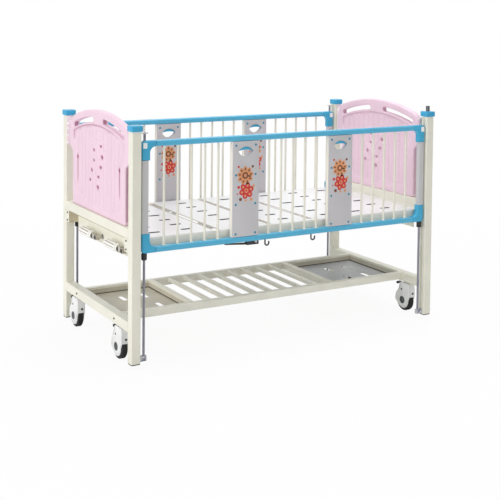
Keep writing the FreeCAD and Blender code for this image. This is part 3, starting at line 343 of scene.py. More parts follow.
casterWhite = finish("casterShell", (244, 245, 244), rough=0.3, mottle=0.03, grain=500, coat=0.3)
collarWhite = finish("collarPlate", (246, 245, 240), rough=0.22, mottle=0.04, grain=300, coat=0.4)
# white grip moulding; its groove attribute blends in a darker brown: painted shade in the flute valleys
gripCream = finish("gripMoulding", (255, 254, 249), rough=0.36, mottle=0.015, grain=500, bump=0.1,
                   tint={"name": "groove", "colour": (128, 108, 82)})
hookBlack = finish("hookCoat", (48, 49, 52), mottle=0.1)
hubGrey = finish("hubCap", (74, 76, 80), mottle=0.08)
darkSteel = finish("darkSteel", (72, 74, 80), rough=0.34, mottle=0.14, patch=45, grain=380, metal=0.7)
socketGrey = finish("socketPlate", (112, 114, 118), rough=0.3, mottle=0.25, patch=90, grain=380, metal=0.5)
clampSilver = finish("clampZinc", (214, 216, 222), rough=0.3, mottle=0.12, patch=60, grain=380, metal=0.35)
# brown and tan strips round the tray floors and under the upper beams: painted shadow lines
trayShadowBrown = finish("trayShadowLine", (112, 104, 88), rough=0.6)
beamShadowTan = finish("beamShadowTan", (184, 176, 154), rough=0.6)
# tan for the bracket faces turned to the middle: painted shade
bracketShadeTan = finish("bracketShadeTan", (196, 184, 160), rough=0.5)
collarLine = finish("collarLine", (132, 124, 110), rough=0.5)
earPink = finish("earPlate", (250, 232, 240), mottle=0.02, grain=500)
rivetTeal = finish("rivetTeal", (28, 142, 172), rough=0.32, mottle=0.05, grain=400)
labelWhite = finish("blankLabel", (255, 255, 254), rough=0.5, mottle=0.03, grain=600, bump=0.05)
printPeach = finish("printPeach", (232, 160, 110), grain=600)
printBrown = finish("printBrown", (132, 78, 52), mottle=0.08, grain=600)
printRed = finish("printRed", (216, 52, 56), rough=0.38, mottle=0.05, grain=600)
print("finishes made")

# finish of every solid that stays in view
nodeLooks = (
    (cream, "posts lower_beams upper_beams beam_brackets end_plates"), (tubeLitBeige, "deck_frame"),
    (deckWhite, "deck_seat deck_back deck_thigh deck_leg"), (trayPale, "shelf_trays"),
    (shelfCream, "shelf_frame shelf_slats"), (rodPlate, "guide_rods"), (socketGrey, "iv_socket"),
    (blackMoulded, "near_rail_bushes far_rail_bushes"), (zinc, "back_screw knee_screw caster_stems"),
    (darkSteel, "frame_bolts back_push_tube knee_push_tube"), (armGrey, "back_crank_arm knee_crank_arm"),
    (chrome, "back_crank_spindle knee_crank_spindle"))
for look, names in nodeLooks:
    for name in names.split():
        slots = nodes[name].data.materials
        for i in range(len(slots)):
            slots[i] = look
        if not len(slots):
            slots.append(look)


def paintFaces(name, look, chosen):
    # second finish on the faces whose centre and normal pass a test
    mesh, world = nodes[name].data, nodes[name].matrix_world
    mesh.materials.append(look)
    for face in mesh.polygons:
        if chosen(world @ face.center, world.to_3x3() @ face.normal):
            face.material_index = len(mesh.materials) - 1


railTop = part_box("near_rail_frame")[1].z
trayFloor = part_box("shelf_trays")[0].z
bushLow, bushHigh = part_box("near_rail_bushes")
rodX, rodY = bushHigh.x - 0.012, (bushLow.y + bushHigh.y) / 2
fromRod = lambda c: abs(abs(c.x) - rodX)
paintFaces("guide_rods", cream, lambda c, n: c.z > railTop + 0.002 and fromRod(c) > 0.007)  # top clips
paintFaces("guide_rods", clampSilver, lambda c, n: c.z > railTop - 0.2 and fromRod(c) < 0.007)  # rod tops
paintFaces("guide_rods", clampSilver, lambda c, n: c.z < 0.075 and (fromRod(c) > 0.0068 or abs(n.z) > 0.5))  # clamps
paintFaces("shelf_trays", trayGrey, lambda c, n: c.x > 0 and n.z > 0.5 and c.z < trayFloor + 0.004)
# tan painted shade on the bracket faces turned to the middle of the cot
paintFaces("beam_brackets", bracketShadeTan, lambda c, n: n.y * c.y < -0.3 and abs(n.y) > 0.9)
# the deck pans' side faces take the brighter cream: painted light on the sides
for name in ("deck_seat", "deck_back", "deck_thigh", "deck_leg"):
    paintFaces(name, flangeLitCream, lambda c, n: abs(n.y) > 0.9)

panelLow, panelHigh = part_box("foot_panel")
endPanel = {
    "archRadius": 1.150, "apexZ": panelHigh.z, "halfEar": 0.400, "halfLow": 0.358, "shoulder": 0.054,
    "stepHigh": 0.985, "stepLow": 0.955, "roll": 0.007, "slotDrop": 0.038, "slotTall": 0.027,
    "slotIn": 0.060, "slotOut": 0.346, "fieldDrop": 0.080, "fieldHalf": 0.336, "fieldLow": 0.300,
    "fieldFloor": 0.703, "fieldSag": 0.042, "fieldDepth": 0.003, "groovePitch": 0.050, "grooveDepth": 0.0018,
    "grooveRuns": (-0.003, -0.0012, 0, 0.0012, 0.003), "artLow": (-0.082, 0.800), "artHigh": (0.112, 1.078),
    "artRise": 0.0042, "leaves": 9, "dimpleDepth": 0.0025,
    "tearY": 0.286, "tearLow": 0.780, "tearHigh": 0.950, "tearHalf": 0.0092, "tearHead": 0.0125,
    "tearDepth": 0.0022, "rimStep": 0.010, "slotStep": 0.006, "fieldStep": 0.008, "coarseStep": 0.020,
    "fineStep": 0.0025, "headShade": 0.62, "footCorner": 0.002, "stepCorner": 0.014, "slotBow": 0.003,
    "fieldTop": 0.025, "fieldStepUp": 0.010, "rimAngles": (20, 42, 66, 90), "fieldBlend": 0.0024,
    "grooveHalf": 0.0028, "grooveStart": 0.010, "grooveRun": 0.006, "byTear": 0.0145, "wallIn": 0.002,
}
# where painted shade darkens the panel's hollows, and by how much
shadow = {
    "wallHalf": 0.0045, "wall": 0.75, "groove": 0.30, "crestDown": 0.030, "crestRun": 0.012, "cornerShare": 0.8,
    "cornerFrom": (0.30, 1.02), "cornerRun": 0.02, "fadeFrom": -0.30, "fadeRun": 0.12, "fadeLeast": 0.25,
    "slot": 0.62, "slotFrom": -0.010, "side": 0.5, "sideUp": 0.02, "sideRun": 0.01, "sideFloor": 0.69, "tear": 0.62,
}
# sprig on the panel, in shares of its own width and height
sprig = {
    "wave": (0.5, 0.15, 6.0, 0.6), "stem": 0.035, "stemRise": 0.8, "stemEnds": (0.05, 0.93), "first": 0.10,
    "pitch": 0.097, "reach": 0.21, "lean": 35, "flat": 1.25, "leaf": (0.18, 0.075), "berryAt": (0.16, 0.055),
    "berry": (0.055, 0.042), "dimpleAt": {1: 0.11, -1: -0.02}, "dimpleDown": 0.056, "dimpleWide": 0.062,
    "dimpleTall": (0.046, 0.036, 0.030), "dimpleFull": 1.35,
}


def archHeight(y, drop):
    # circle with its top at the apex, its radius less the drop
    r = endPanel["archRadius"]
    return endPanel["apexZ"] - r + np.sqrt((r - drop) ** 2 - np.asarray(y, float) ** 2)


def nearest(points, loop):
    # least distance from each point to the sides of a polygon
    d = np.roll(loop, -1, 0) - loop
    t = np.einsum("pki,ki->pk", points[:, None] - loop[None], d) / np.maximum(np.sum(d * d, 1), 1e-18)
    gap = points[:, None] - (loop[None] + np.clip(t, 0, 1)[..., None] * d[None])
    return np.sqrt(np.min(np.sum(gap * gap, 2), 1))


def within(points, loop):
    # a ray to the right crosses the sides an odd number of times from inside
    a, b = loop, np.roll(loop, -1, 0)
    up = (a[None, :, 1] > points[:, None, 1]) != (b[None, :, 1] > points[:, None, 1])
    rise = np.where(np.abs(b[:, 1] - a[:, 1]) < 1e-15, 1e-15, b[:, 1] - a[:, 1])
    cross = a[None, :, 0] + (points[:, None, 1] - a[None, :, 1]) / rise[None] * (b[:, 0] - a[:, 0])[None]
    return np.sum(up & (cross > points[:, None, 0]), 1) % 2 == 1


def spaced(loop, step):
    # the loop again, with points at even steps along it
    closed = np.concatenate([loop, loop[:1]])
    run = np.concatenate([[0], np.cumsum(np.linalg.norm(np.diff(closed, axis=0), axis=1))])
    s = np.linspace(0, run[-1], max(8, int(run[-1] / step)), endpoint=False)
    return np.stack([np.interp(s, run, closed[:, 0]), np.interp(s, run, closed[:, 1])], 1)


def panelOutlines():
    # rim under the arch with round shoulders and steps, two hand slots along the arch, and the sunk field
    p = endPanel
    ear, neck, low, top = p["halfEar"], p["halfLow"], panelLow.z, float(archHeight(p["halfEar"], 0))
    corners = [(-neck, low), (neck, low), (neck, p["stepLow"]), (ear, p["stepHigh"]), (ear, top), (-ear, top),
               (-ear, p["stepHigh"]), (-neck, p["stepLow"])]
    foot, step, r = p["footCorner"], p["stepCorner"], p["shoulder"]
    outer = roundCorners(corners, [foot, foot, step, step, r, r, step, step], 9)
    # the straight top side between the shoulders follows the arch
    upper = outer[:, 1] > p["stepHigh"] + 0.05
    outer[upper, 1] += archHeight(outer[upper, 0], 0) - top
    ends = np.where(upper)[0]
    split = ends[0] + len(ends) // 2
    between = np.linspace(outer[split - 1, 0], outer[split, 0], 50)[1:-1]
    outer = np.concatenate([outer[:split], np.stack([between, archHeight(between, 0)], 1), outer[split:]])
    slots = []
    half = p["slotTall"] / 2
    a, b = p["slotIn"] + half, p["slotOut"] - half
    y = np.linspace(a, b, 24)
    over = np.stack([y, archHeight(y, p["slotDrop"])], 1)
    under = np.stack([y, archHeight(y, p["slotDrop"] + p["slotTall"])], 1)[::-1]
    right = arcThrough(over[-1], (b + half, (over[-1, 1] + under[0, 1]) / 2 - p["slotBow"]), under[0], 9)[1:-1]
    left = arcThrough(under[-1], (a - half, (over[0, 1] + under[-1, 1]) / 2), over[0], 9)[1:-1]
    for s in (1, -1):
        slots.append(np.concatenate([over, right, under, left]) * [s, 1])
    wide, narrow = p["fieldHalf"], p["fieldLow"]
    y = np.linspace(wide, -wide, 50)
    sag = arcThrough((-narrow, p["fieldFloor"] + p["fieldSag"]), (0, p["fieldFloor"]),
                     (narrow, p["fieldFloor"] + p["fieldSag"]), 30)
    high, low = p["stepHigh"] + p["fieldTop"], p["stepLow"] + p["fieldStepUp"]
    field = np.concatenate([np.stack([y, archHeight(y, p["fieldDrop"])], 1), [(-wide, high), (-narrow, low)], sag,
                            [(narrow, low), (wide, high)]])
    return outer, slots, field


def artRelief(points):
    # raised sprig: a curved stem, domed leaves along it and round berries, each a half ellipsoid;
    # a round dimple below each leaf takes painted shade
    p, q = endPanel, sprig
    low, high = np.array(p["artLow"]), np.array(p["artHigh"])
    u, v = ((points - low) / (high - low)).T
    middle, sway, rate, start = q["wave"]
    wave = lambda h: middle + sway * np.sin(h * rate + start)
    stem = np.clip(1 - ((u - wave(v)) / q["stem"]) ** 2, 0, 1) * (v > q["stemEnds"][0]) * (v < q["stemEnds"][1])
    rise, dark = q["stemRise"] * np.sqrt(stem), np.zeros(len(points))
    for i in range(p["leaves"]):
        cv, side = q["first"] + i * q["pitch"], 1 if i % 2 else -1
        cu = wave(cv) + side * q["reach"]
        tilt = math.radians(q["lean"] * side + 90)
        du, dv = u - cu, (v - cv) * q["flat"]
        a = du * math.sin(tilt) - dv * math.cos(tilt)
        b = du * math.cos(tilt) + dv * math.sin(tilt)
        rise = np.maximum(rise, np.sqrt(np.clip(1 - (a / q["leaf"][0]) ** 2 - (b / q["leaf"][1]) ** 2, 0, 1)))
        bu, bv = (u - cu - side * q["berryAt"][0]) / q["berry"][0], (v - cv - q["berryAt"][1]) / q["berry"][1]
        rise = np.maximum(rise, np.sqrt(np.clip(1 - bu ** 2 - bv ** 2, 0, 1)))
        hu = (u - cu - q["dimpleAt"][side]) / q["dimpleWide"]
        hv = (v - cv + q["dimpleDown"]) / q["dimpleTall"][i % 3]
        dark = np.maximum(dark, np.clip(q["dimpleFull"] - hu ** 2 - hv ** 2, 0, 1))
    return rise * p["artRise"] * (1 - dark), dark


def tearMark(points):
    # long drop: a line that widens upwards and ends in a round head, one at each side of the field; the line and the
    # head carry painted shade
    p = endPanel
    y, z = np.abs(points[:, 0]) - p["tearY"], points[:, 1]
    t = np.clip((z - p["tearLow"]) / (p["tearHigh"] - p["tearLow"]), 0, 1)
    line = np.clip(1 - (y / (p["tearHalf"] * (0.65 + 0.35 * t))) ** 2, 0, 1) * (z > p["tearLow"])
    line *= z < p["tearHigh"] - p["tearHead"]
    head = np.clip(1 - (y ** 2 + (z - p["tearHigh"] + p["tearHead"]) ** 2) / p["tearHead"] ** 2, 0, 1)
    # painted shade along the line, darkest in the head, fading out towards the bottom
    tint = np.maximum(shadow["tear"] * np.clip(3 * line, 0, 1), np.clip(3 * head, 0, 1))
    tint *= np.clip(t * 5 - 0.1, 0, 1)
    return np.maximum(line, head), tint


def comb(centre, offsets, rows):
    # points at each offset from a line, in every row
    return np.stack(np.meshgrid(centre + np.asarray(offsets), rows), -1).reshape(-1, 2)


def panelParts():
    # flat triangles between the outlines, then each point is pushed in by a depth function on both faces
    p = endPanel
    roll = p["roll"]
    outer, slots, field = panelOutlines()
    outer = anticlockwise(spaced(outer, p["rimStep"]))
    slots = [anticlockwise(spaced(s, p["slotStep"]), False) for s in slots]
    field = anticlockwise(field)
    flat, edges = [np.concatenate([outer] + slots)], []
    start = 0
    for loop in [outer] + slots:
        edges += [(start + i, start + (i + 1) % len(loop)) for i in range(len(loop))]
        start += len(loop)
        flat += [inset(loop, roll * (1 - math.cos(math.radians(t)))) for t in p["rimAngles"]]
    flat += [inset(spaced(field, p["fieldStep"]), s * p["fieldBlend"]) for s in (-1, 0, 1)]
    coarse = comb(0, np.arange(-p["halfEar"], p["halfEar"], p["coarseStep"]), np.arange(0.68, 1.2, p["coarseStep"]))
    half = int(p["fieldHalf"] / p["groovePitch"])
    lines = [(k + 0.5) * p["groovePitch"] for k in range(-half, half)]
    combs = [comb(g + d, [0], np.arange(0.70, 1.12, 0.012)) for g in lines for d in p["grooveRuns"]]
    tears = [comb(s * p["tearY"], np.arange(-0.0135, 0.014, 0.00225), np.arange(p["tearLow"], p["tearHigh"], 0.004))
             for s in signs]
    fine = comb(0, *(np.arange(p["artLow"][k], p["artHigh"][k], p["fineStep"]) for k in (0, 1)))
    byTear = lambda q: ((np.abs(np.abs(q[:, 0]) - p["tearY"]) < p["byTear"])
                        & (q[:, 1] > p["tearLow"] - 0.01) & (q[:, 1] < p["tearHigh"] + 0.01))
    inArt = lambda q: np.all((q > np.array(p["artLow"]) - 0.002) & (q < np.array(p["artHigh"]) + 0.002), 1)
    extra = np.concatenate([q[~inArt(q) & ~byTear(q)] for q in [coarse] + combs] + [fine] + tears)
    clear = within(extra, outer) & (nearest(extra, outer) > roll + 0.002) & (nearest(extra, field) > 0.004)
    for s in slots:
        clear &= ~within(extra, s) & (nearest(extra, s) > roll + 0.002)
    flat = np.concatenate(flat + [extra[clear]])
    verts, _, tris, _, _, _ = delaunay_2d_cdt([Vector(v) for v in flat], edges, [], 0, 1e-6)
    flat = np.array([tuple(v) for v in verts])
    tris = np.array([tuple(t) for t in tris])
    middle = flat[tris].mean(1)
    keep = within(middle, outer)
    for s in slots:
        keep &= ~within(middle, s)
    tris = tris[keep]
    # depth from the flat face at each point: rolled rim, sunk field, grooves, tear marks and relief
    toSlot = np.min([nearest(flat, s) for s in slots], 0)
    k = np.clip(1 - np.minimum(nearest(flat, outer), toSlot) / roll, 0, 1)
    signed = nearest(flat, field) * np.where(within(flat, field), 1, -1)
    inside = np.clip(0.5 + signed / (2 * p["fieldBlend"]), 0, 1)
    deep = np.clip((signed - p["grooveStart"]) / p["grooveRun"], 0, 1)
    groove = np.max([np.clip(1 - np.abs(flat[:, 0] - g) / p["grooveHalf"], 0, 1) for g in lines], 0) * deep
    rise, dimple = (np.where(inArt(flat), q, 0) for q in artRelief(flat))
    tear, tearShade = tearMark(flat)
    groove = np.where((rise > 0.0002) | (dimple > 0.01) | byTear(flat), 0, groove)
    depth = roll * (1 - np.sqrt(1 - k ** 2)) + p["fieldDepth"] * inside * inside * (3 - 2 * inside)
    depth += p["grooveDepth"] * groove + p["tearDepth"] * tear + (p["dimpleDepth"] * dimple - rise) * deep
    # painted shade on the field's upper wall, in grooves, dimples and tears
    m, (y, z) = shadow, flat.T
    wall = np.clip(1 - np.abs(signed) / m["wallHalf"], 0, 1)
    crest = np.clip((z - archHeight(y, p["fieldDrop"] + m["crestDown"])) / m["crestRun"], 0, 1)
    corner = np.clip((z - m["cornerFrom"][1]) / m["cornerRun"], 0, 1) * (y > m["cornerFrom"][0])
    crest = np.maximum(crest, m["cornerShare"] * corner)
    crest *= np.clip((y - m["fadeFrom"]) / m["fadeRun"], m["fadeLeast"], 1)
    roseShade = np.clip(np.max([m["wall"] * wall * crest, m["groove"] * groove, dimple, tearShade], 0), 0, 1)
    # two rows of points between the faces make the side wall, with painted shade in the hand slots and down the sides
    count = len(flat)
    x0, x1 = panelLow.x, panelHigh.x
    front = np.concatenate([(x0 + depth)[:, None], flat], 1)
    back = np.concatenate([(x1 - depth)[:, None], flat], 1)
    sides = np.concatenate([tris[:, [0, 1]], tris[:, [1, 2]], tris[:, [2, 0]]])
    _, first, times = np.unique(np.sort(sides, 1), axis=0, return_index=True, return_counts=True)
    rim = sides[first[times == 1]]
    edge = np.unique(rim)
    order = np.zeros(count, int)
    order[edge] = np.arange(len(edge))
    q = flat[edge]
    y, z = q.T
    # painted shade at the end of each hand slot towards +Y, and on the side wall below the step
    shadedEnd = y > np.where(y > 0, p["slotOut"], -p["slotIn"]) + m["slotFrom"]
    down = np.clip((p["stepLow"] + m["sideUp"] - z) / m["sideRun"], 0, 1) * (z > m["sideFloor"])
    dark = np.where(toSlot[edge] < 1e-4, m["slot"] * shadedEnd, m["side"] * down)
    inner = (x0 + roll + p["wallIn"], x1 - roll - p["wallIn"])
    rows = [np.concatenate([np.full((len(q), 1), x), q], 1) for x in inner]
    levels = [rim, 2 * count + order[rim], 2 * count + len(edge) + order[rim], rim + count]
    faces = tris.tolist() + (tris[:, ::-1] + count).tolist()
    for near, far in zip(levels[:-1], levels[1:]):
        faces += np.stack([near[:, 1], near[:, 0], far[:, 0], far[:, 1]], 1).tolist()
    return [(np.concatenate([front, back] + rows), faces, 0, np.concatenate([roseShade, roseShade, dark, dark]))]


footPanel = panelParts()
# the painted shade in the head panel's hollows is lighter than in the foot panel's
headPanel = [flipped(q, "X")[:3] + (q[3] * endPanel["headShade"],) for q in footPanel]
for end, parts in (("foot", footPanel), ("head", headPanel)):
    makePiece(end + "PanelMoulding", parts, [pink], "frame", [end + "_panel"], sharp=50,
              shade="roseShade")
print("end panels made:", len(footPanel[0][0]), "points each")

post = {"wide": 0.048, "edge": 0.0032, "corner": 0.0055, "inner": 0.006, "padIn": 0.007, "padFrom": -0.004,
        "padTo": -0.0004, "padEdge": 0.0012, "plug": 0.0468, "plugFrom": -0.0050, "plugTo": 0.0004,
        "plugEdge": 0.0006}
capLow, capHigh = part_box("post_caps")
postLow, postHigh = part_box("posts")
capWide = post["wide"] + 2 * (capHigh.x - postHigh.x)
pad = capWide - 2 * post["padIn"]
caps, plugs = [], []
for sx in signs:
    for sy in signs:
        at = (sx * (capHigh.x - capWide / 2), sy * (capHigh.y - capWide / 2))
        caps.append(slab("Z", *at, capWide, capWide, post["corner"], capLow.z, capHigh.z, post["edge"]))
        caps.append(slab("Z", *at, pad, pad, post["inner"], capHigh.z + post["padFrom"], capHigh.z + post["padTo"],
                         post["padEdge"]))
        at = (sx * (postHigh.x - post["wide"] / 2), sy * (postHigh.y - post["wide"] / 2))
        plugs.append(slab("Z", *at, post["plug"], post["plug"], post["inner"], postLow.z + post["plugFrom"],
                          postLow.z + post["plugTo"], post["plugEdge"]))
makePiece("postCaps", caps, [blueCap], "frame", ["post_caps"])
makePiece("postPlugs", plugs, [blackMoulded], "frame")

rail = {
    "barRound": 0.009, "cornerWide": 0.042, "cornerReach": 0.074, "cornerTall": 0.096, "cornerRound": 0.016,
    "cornerFillet": 0.029, "cornerRoll": 0.007, "stileWide": 0.034, "stileDeep": 0.028, "stileCorner": 0.004,
    "bar": 0.006, "middlePitch": 0.0735, "outerFrom": 0.3685, "outerPitch": 0.07475,
    "weld": [(0.0092, 0.0), (0.0080, 0.0012), (0.0066, 0.0024), (0.0060, 0.0040)],
}
frameLow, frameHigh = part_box("near_rail_frame")
cornerLow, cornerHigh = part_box("near_rail_corners")
boardLow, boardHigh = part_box("near_rail_boards")
barLow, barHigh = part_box("near_rail_bars")
railY = (cornerLow.y + cornerHigh.y) / 2
railBar = frameHigh.z - barHigh.z


def cornerOutline(z, s):
    # upright leg and arm with a round outer corner and a quarter-circle inner one
    x0 = cornerLow.x
    x1, x2 = x0 + rail["cornerWide"], x0 + rail["cornerReach"]
    zBar, zEnd = z + s * railBar, z + s * rail["cornerTall"]
    points = [(x0, z), (x0, zEnd), (x1, zEnd), (x1, zBar), (x2, zBar), (x2, z)]
    return roundCorners(points, [rail["cornerRound"], 0, 0, rail["cornerFillet"], 0, 0], 8)


def bow(cx, cz, half, rise, count):
    # arc from one side of a centre to the other, through the point at the rise above it
    return arcThrough((cx + half, cz), (cx, cz + rise), (cx - half, cz), count)


def crescent(cx, cz, half, over, under, overCount, underCount):
    # two arcs of different rise between the same two ends
    return np.concatenate([bow(cx, cz, half, over, overCount), bow(cx, cz, -half, under, underCount)[1:-1]])


def knob(axis, cu, cv, face, out, profile, count):
    # profile of (radius, height) carried once round, heights measured from a face along the sign
    return turned(axis, cu, cv, [(r, face + out * h) for r, h in profile], count)


cornerParts = []
for z, s in ((cornerHigh.z, -1), (cornerLow.z, 1)):
    part = pillow("Y", cornerOutline(z, s), cornerLow.y, cornerHigh.y, rail["cornerRoll"])
    cornerParts += [part, flipped(part, "X")]
barEnd = -(cornerLow.x + rail["cornerReach"])
frameParts = [slab("X", railY, z, railBar, railBar, rail["barRound"], -barEnd, barEnd)
              for z in (frameHigh.z - railBar / 2, frameLow.z + railBar / 2)]
for s in signs:
    stileX = s * (-cornerLow.x - rail["stileWide"] / 2)
    frameParts.append(slab("Z", stileX, railY, rail["stileWide"], rail["stileDeep"], rail["stileCorner"],
                           cornerLow.z + rail["cornerTall"], cornerHigh.z - rail["cornerTall"]) + (1,))
barXs = [i * rail["middlePitch"] for i in range(-2, 3)]
barXs += [s * (rail["outerFrom"] + i * rail["outerPitch"]) for s in signs for i in range(1, 6)]
barParts = []
for x in sorted(barXs):
    barParts.append(turned("Z", x, railY, [(rail["bar"], barLow.z), (rail["bar"], barHigh.z)], 20))
    barParts += [knob("Z", x, railY, z, s, rail["weld"], 20) for z, s in ((barLow.z, 1), (barHigh.z, -1))]

board = {"in": 0.2145, "corner": 0.003, "roll": 0.0009, "sheet": 0.002, "edgeTube": 0.030, "tubeCorner": 0.0008,
         "tubeRoll": 0.0006, "holeWall": 0.002, "holeDown": 0.051, "holeHalf": 0.043, "holeOver": 0.023,
         "holeUnder": -0.028}
boardWide, boardTall = boardHigh.x - board["in"], boardHigh.z - boardLow.z
boardX, boardZ = board["in"] + boardWide / 2, (boardLow.z + boardHigh.z) / 2
boardFaces = ((boardLow.y, -1), (boardHigh.y, 1))
innerLow, innerHigh = boardLow.y + board["sheet"], boardHigh.y - board["sheet"]
holeZ, half, under, wall = barHigh.z - board["holeDown"], board["holeHalf"], board["holeUnder"], board["holeWall"]
boardParts = []
for cx in (-boardX, boardX):
    hole = crescent(cx, holeZ, half, board["holeOver"], under, 17, 19)
    for y in (boardLow.y, innerHigh):
        boardParts.append(slab("Y", cx, boardZ, boardWide, boardTall, board["corner"], y, y + board["sheet"],
                               board["roll"], [hole]))
    # edge tubes between the two sheets, and a thin wall along the lower half of the hand hole
    for s in signs:
        tubeX = cx + s * (boardWide - board["edgeTube"]) / 2
        boardParts.append(slab("Z", tubeX, railY, board["edgeTube"], innerHigh - innerLow, board["tubeCorner"],
                               boardLow.z, boardHigh.z, board["tubeRoll"]) + (1,))
    rim = [bow(cx, holeZ, -half, under, 19), bow(cx, holeZ, half + wall, under - wall, 19)]
    boardParts.append(pillow("Y", np.concatenate(rim), innerLow, innerHigh))
print("rail shapes made")

# printed picture: generic blossoms in overlapping rounds, seen from either face of a board
picture = {
    "big": {"at": (-0.003, 0.896), "petals": 9, "reach": 0.0290, "size": (0.0190, 0.0125), "heart": 0.0175},
    "low": {"at": (0.004, 0.818), "petals": 6, "reach": 0.0230, "size": (0.0200, 0.0155), "heart": 0.0110},
    "dots": [(-0.041, 0.838, 0.0080), (0.046, 0.840, 0.0075), (-0.030, 0.776, 0.0090), (-0.048, 0.804, 0.0045),
             (0.032, 0.772, 0.0080), (0.040, 0.940, 0.0070), (-0.042, 0.942, 0.0060), (0.002, 0.768, 0.0060)],
    "spotOut": 0.004, "spotShare": 0.35, "heartShare": 0.5, "layer": 0.00008,
}


def pictureShapes():
    # (outline, colour, layer): elliptic petals at even angles on a ring round each heart, and loose round dots
    shapes = []
    for name, petal, heart in (("big", 0, 1), ("low", 2, 0)):
        f = picture[name]
        wide, high = f["size"]
        for i in range(f["petals"]):
            t = 2 * math.pi * (i + 0.25) / f["petals"]
            for reach, share, colour, layer in ((f["reach"], 1, petal, 1 + i % 2),
                                                (f["reach"] + picture["spotOut"], picture["spotShare"], heart, 3)):
                u, v = f["at"][0] + reach * math.cos(t), f["at"][1] + reach * math.sin(t)
                shapes.append((ellipse(u, v, wide * share, high * share, t), colour, layer))
        r = f["heart"]
        shapes.append((ellipse(*f["at"], r, r, 0, 24), heart, 3))
        r *= picture["heartShare"]
        shapes.append((ellipse(*f["at"], r, r, 0, 20), petal, 4))
    for i, (u, v, r) in enumerate(picture["dots"]):
        shapes.append((ellipse(u, v, r, r, 0, 16), (2, 0, 1)[i % 3], 1))
    return shapes


pictures = [pillow("Y", outline + [cx, 0], face, face + out * picture["layer"] * layer) + (colour,)
            for cx in (-boardX, boardX) for face, out in boardFaces for outline, colour, layer in pictureShapes()]

# grip in each hand hole on a bar that runs between the edge tubes
catch = {"half": 0.0415, "up": 0.001, "over": 0.021, "under": 0.006, "deep": 0.010, "roll": 0.0012,
         "barUp": 0.018, "bar": (0.092, 0.016, 0.003), "barDeep": 0.005}
gripParts = {}
for end, cx in (("foot", -boardX), ("head", boardX)):
    outline = crescent(cx, holeZ + catch["up"], catch["half"], catch["over"], catch["under"], 17, 17)
    gripParts[end] = [pillow("Y", outline, railY - catch["deep"], railY + catch["deep"], catch["roll"], steps=3),
                      slab("Y", cx, holeZ + catch["barUp"], *catch["bar"], railY - catch["barDeep"],
                           railY + catch["barDeep"])]

# domes in two rows on each board; heights are shares of the rivet's own height
rivet = {"in": 0.020, "down": 0.021, "pitch": 0.150, "rows": 4,
         "dome": [(0.0062, 0.0), (0.0060, 0.35), (0.0046, 0.8), (0.0016, 1.0)]}
rivetTall = boardLow.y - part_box("near_rail_rivets")[0].y
rivetXs = [s * (boardX + t * (boardWide / 2 - rivet["in"])) for s in signs for t in signs]
rivetZs = [barHigh.z - rivet["down"] - i * rivet["pitch"] for i in range(rivet["rows"])]
rivetParts = [knob("Y", x, z, face, out * rivetTall, rivet["dome"], 16)
              for x in rivetXs for z in rivetZs for face, out in boardFaces]

# plain label on the outer face of each upper corner
label = {"inset": 0.003, "wide": 0.021, "tall": 0.027, "down": 0.010, "corner": 0.002, "thick": 0.0003}
labelParts = []
for s in signs:
    at = (s * (cornerHigh.x - label["inset"] - label["wide"] / 2), cornerHigh.z - label["down"] - label["tall"] / 2)
    for face, out in ((cornerLow.y, -1), (cornerHigh.y, 1)):
        labelParts.append(slab("Y", *at, label["wide"], label["tall"], label["corner"], face,
                               face + out * label["thick"]))

# thicker foot of each lower bush, straight with a rounded lip
boot = {"up": 0.0012, "inner": 0.0118, "radius": 0.0140, "lip": 0.001, "tall": 0.031}
z, r = bushLow.z + boot["up"], boot["radius"]
profile = [(boot["inner"], z), (r - boot["lip"], z + 0.0006), (r, z + 0.003), (r, z + boot["tall"] - 0.002),
           (r - boot["lip"], z + boot["tall"]), (boot["inner"], z + boot["tall"])]
boots = [ringRound("Z", s * rodX, rodY, profile, 32) for s in signs]

railPieces = (
    ("RailBars", barParts, [cream], "_rail_bars", "cream_enamel"),
    ("RailTubes", frameParts, [blue, greyCoat], "_rail_frame", "blue_enamel"),
    ("RailCorners", cornerParts, [blueMoulded], "_rail_corners", "blue_moulding"),
    ("Boards", boardParts, [laminate, shelfCream], "_rail_boards", "board_laminate"),
    ("BoardPictures", pictures, [printPeach, printBrown, printRed], None, None),
    ("Rivets", rivetParts, [rivetTeal], "_rail_rivets", None),
    ("BushFeet", boots, [blackMoulded], None, None),
    ("Labels", labelParts, [labelWhite], None, None),
)
for side in ("near", "far"):
    flip = (lambda q: q) if side == "near" else (lambda q: flipped(q, "Y"))
    for name, parts, looks, stands, slotName in railPieces:
        makePiece(side + name, [flip(q) for q in parts], looks, side + "_rail", [side + stands] if stands else ())
    for end in ("foot", "head"):
        makePiece(side + end.title() + "CatchGrip", [flip(q) for q in gripParts[end]], [blueMoulded],
                  side + "_" + end + "_catch", [side + "_trigger_" + end])
print("rails made")

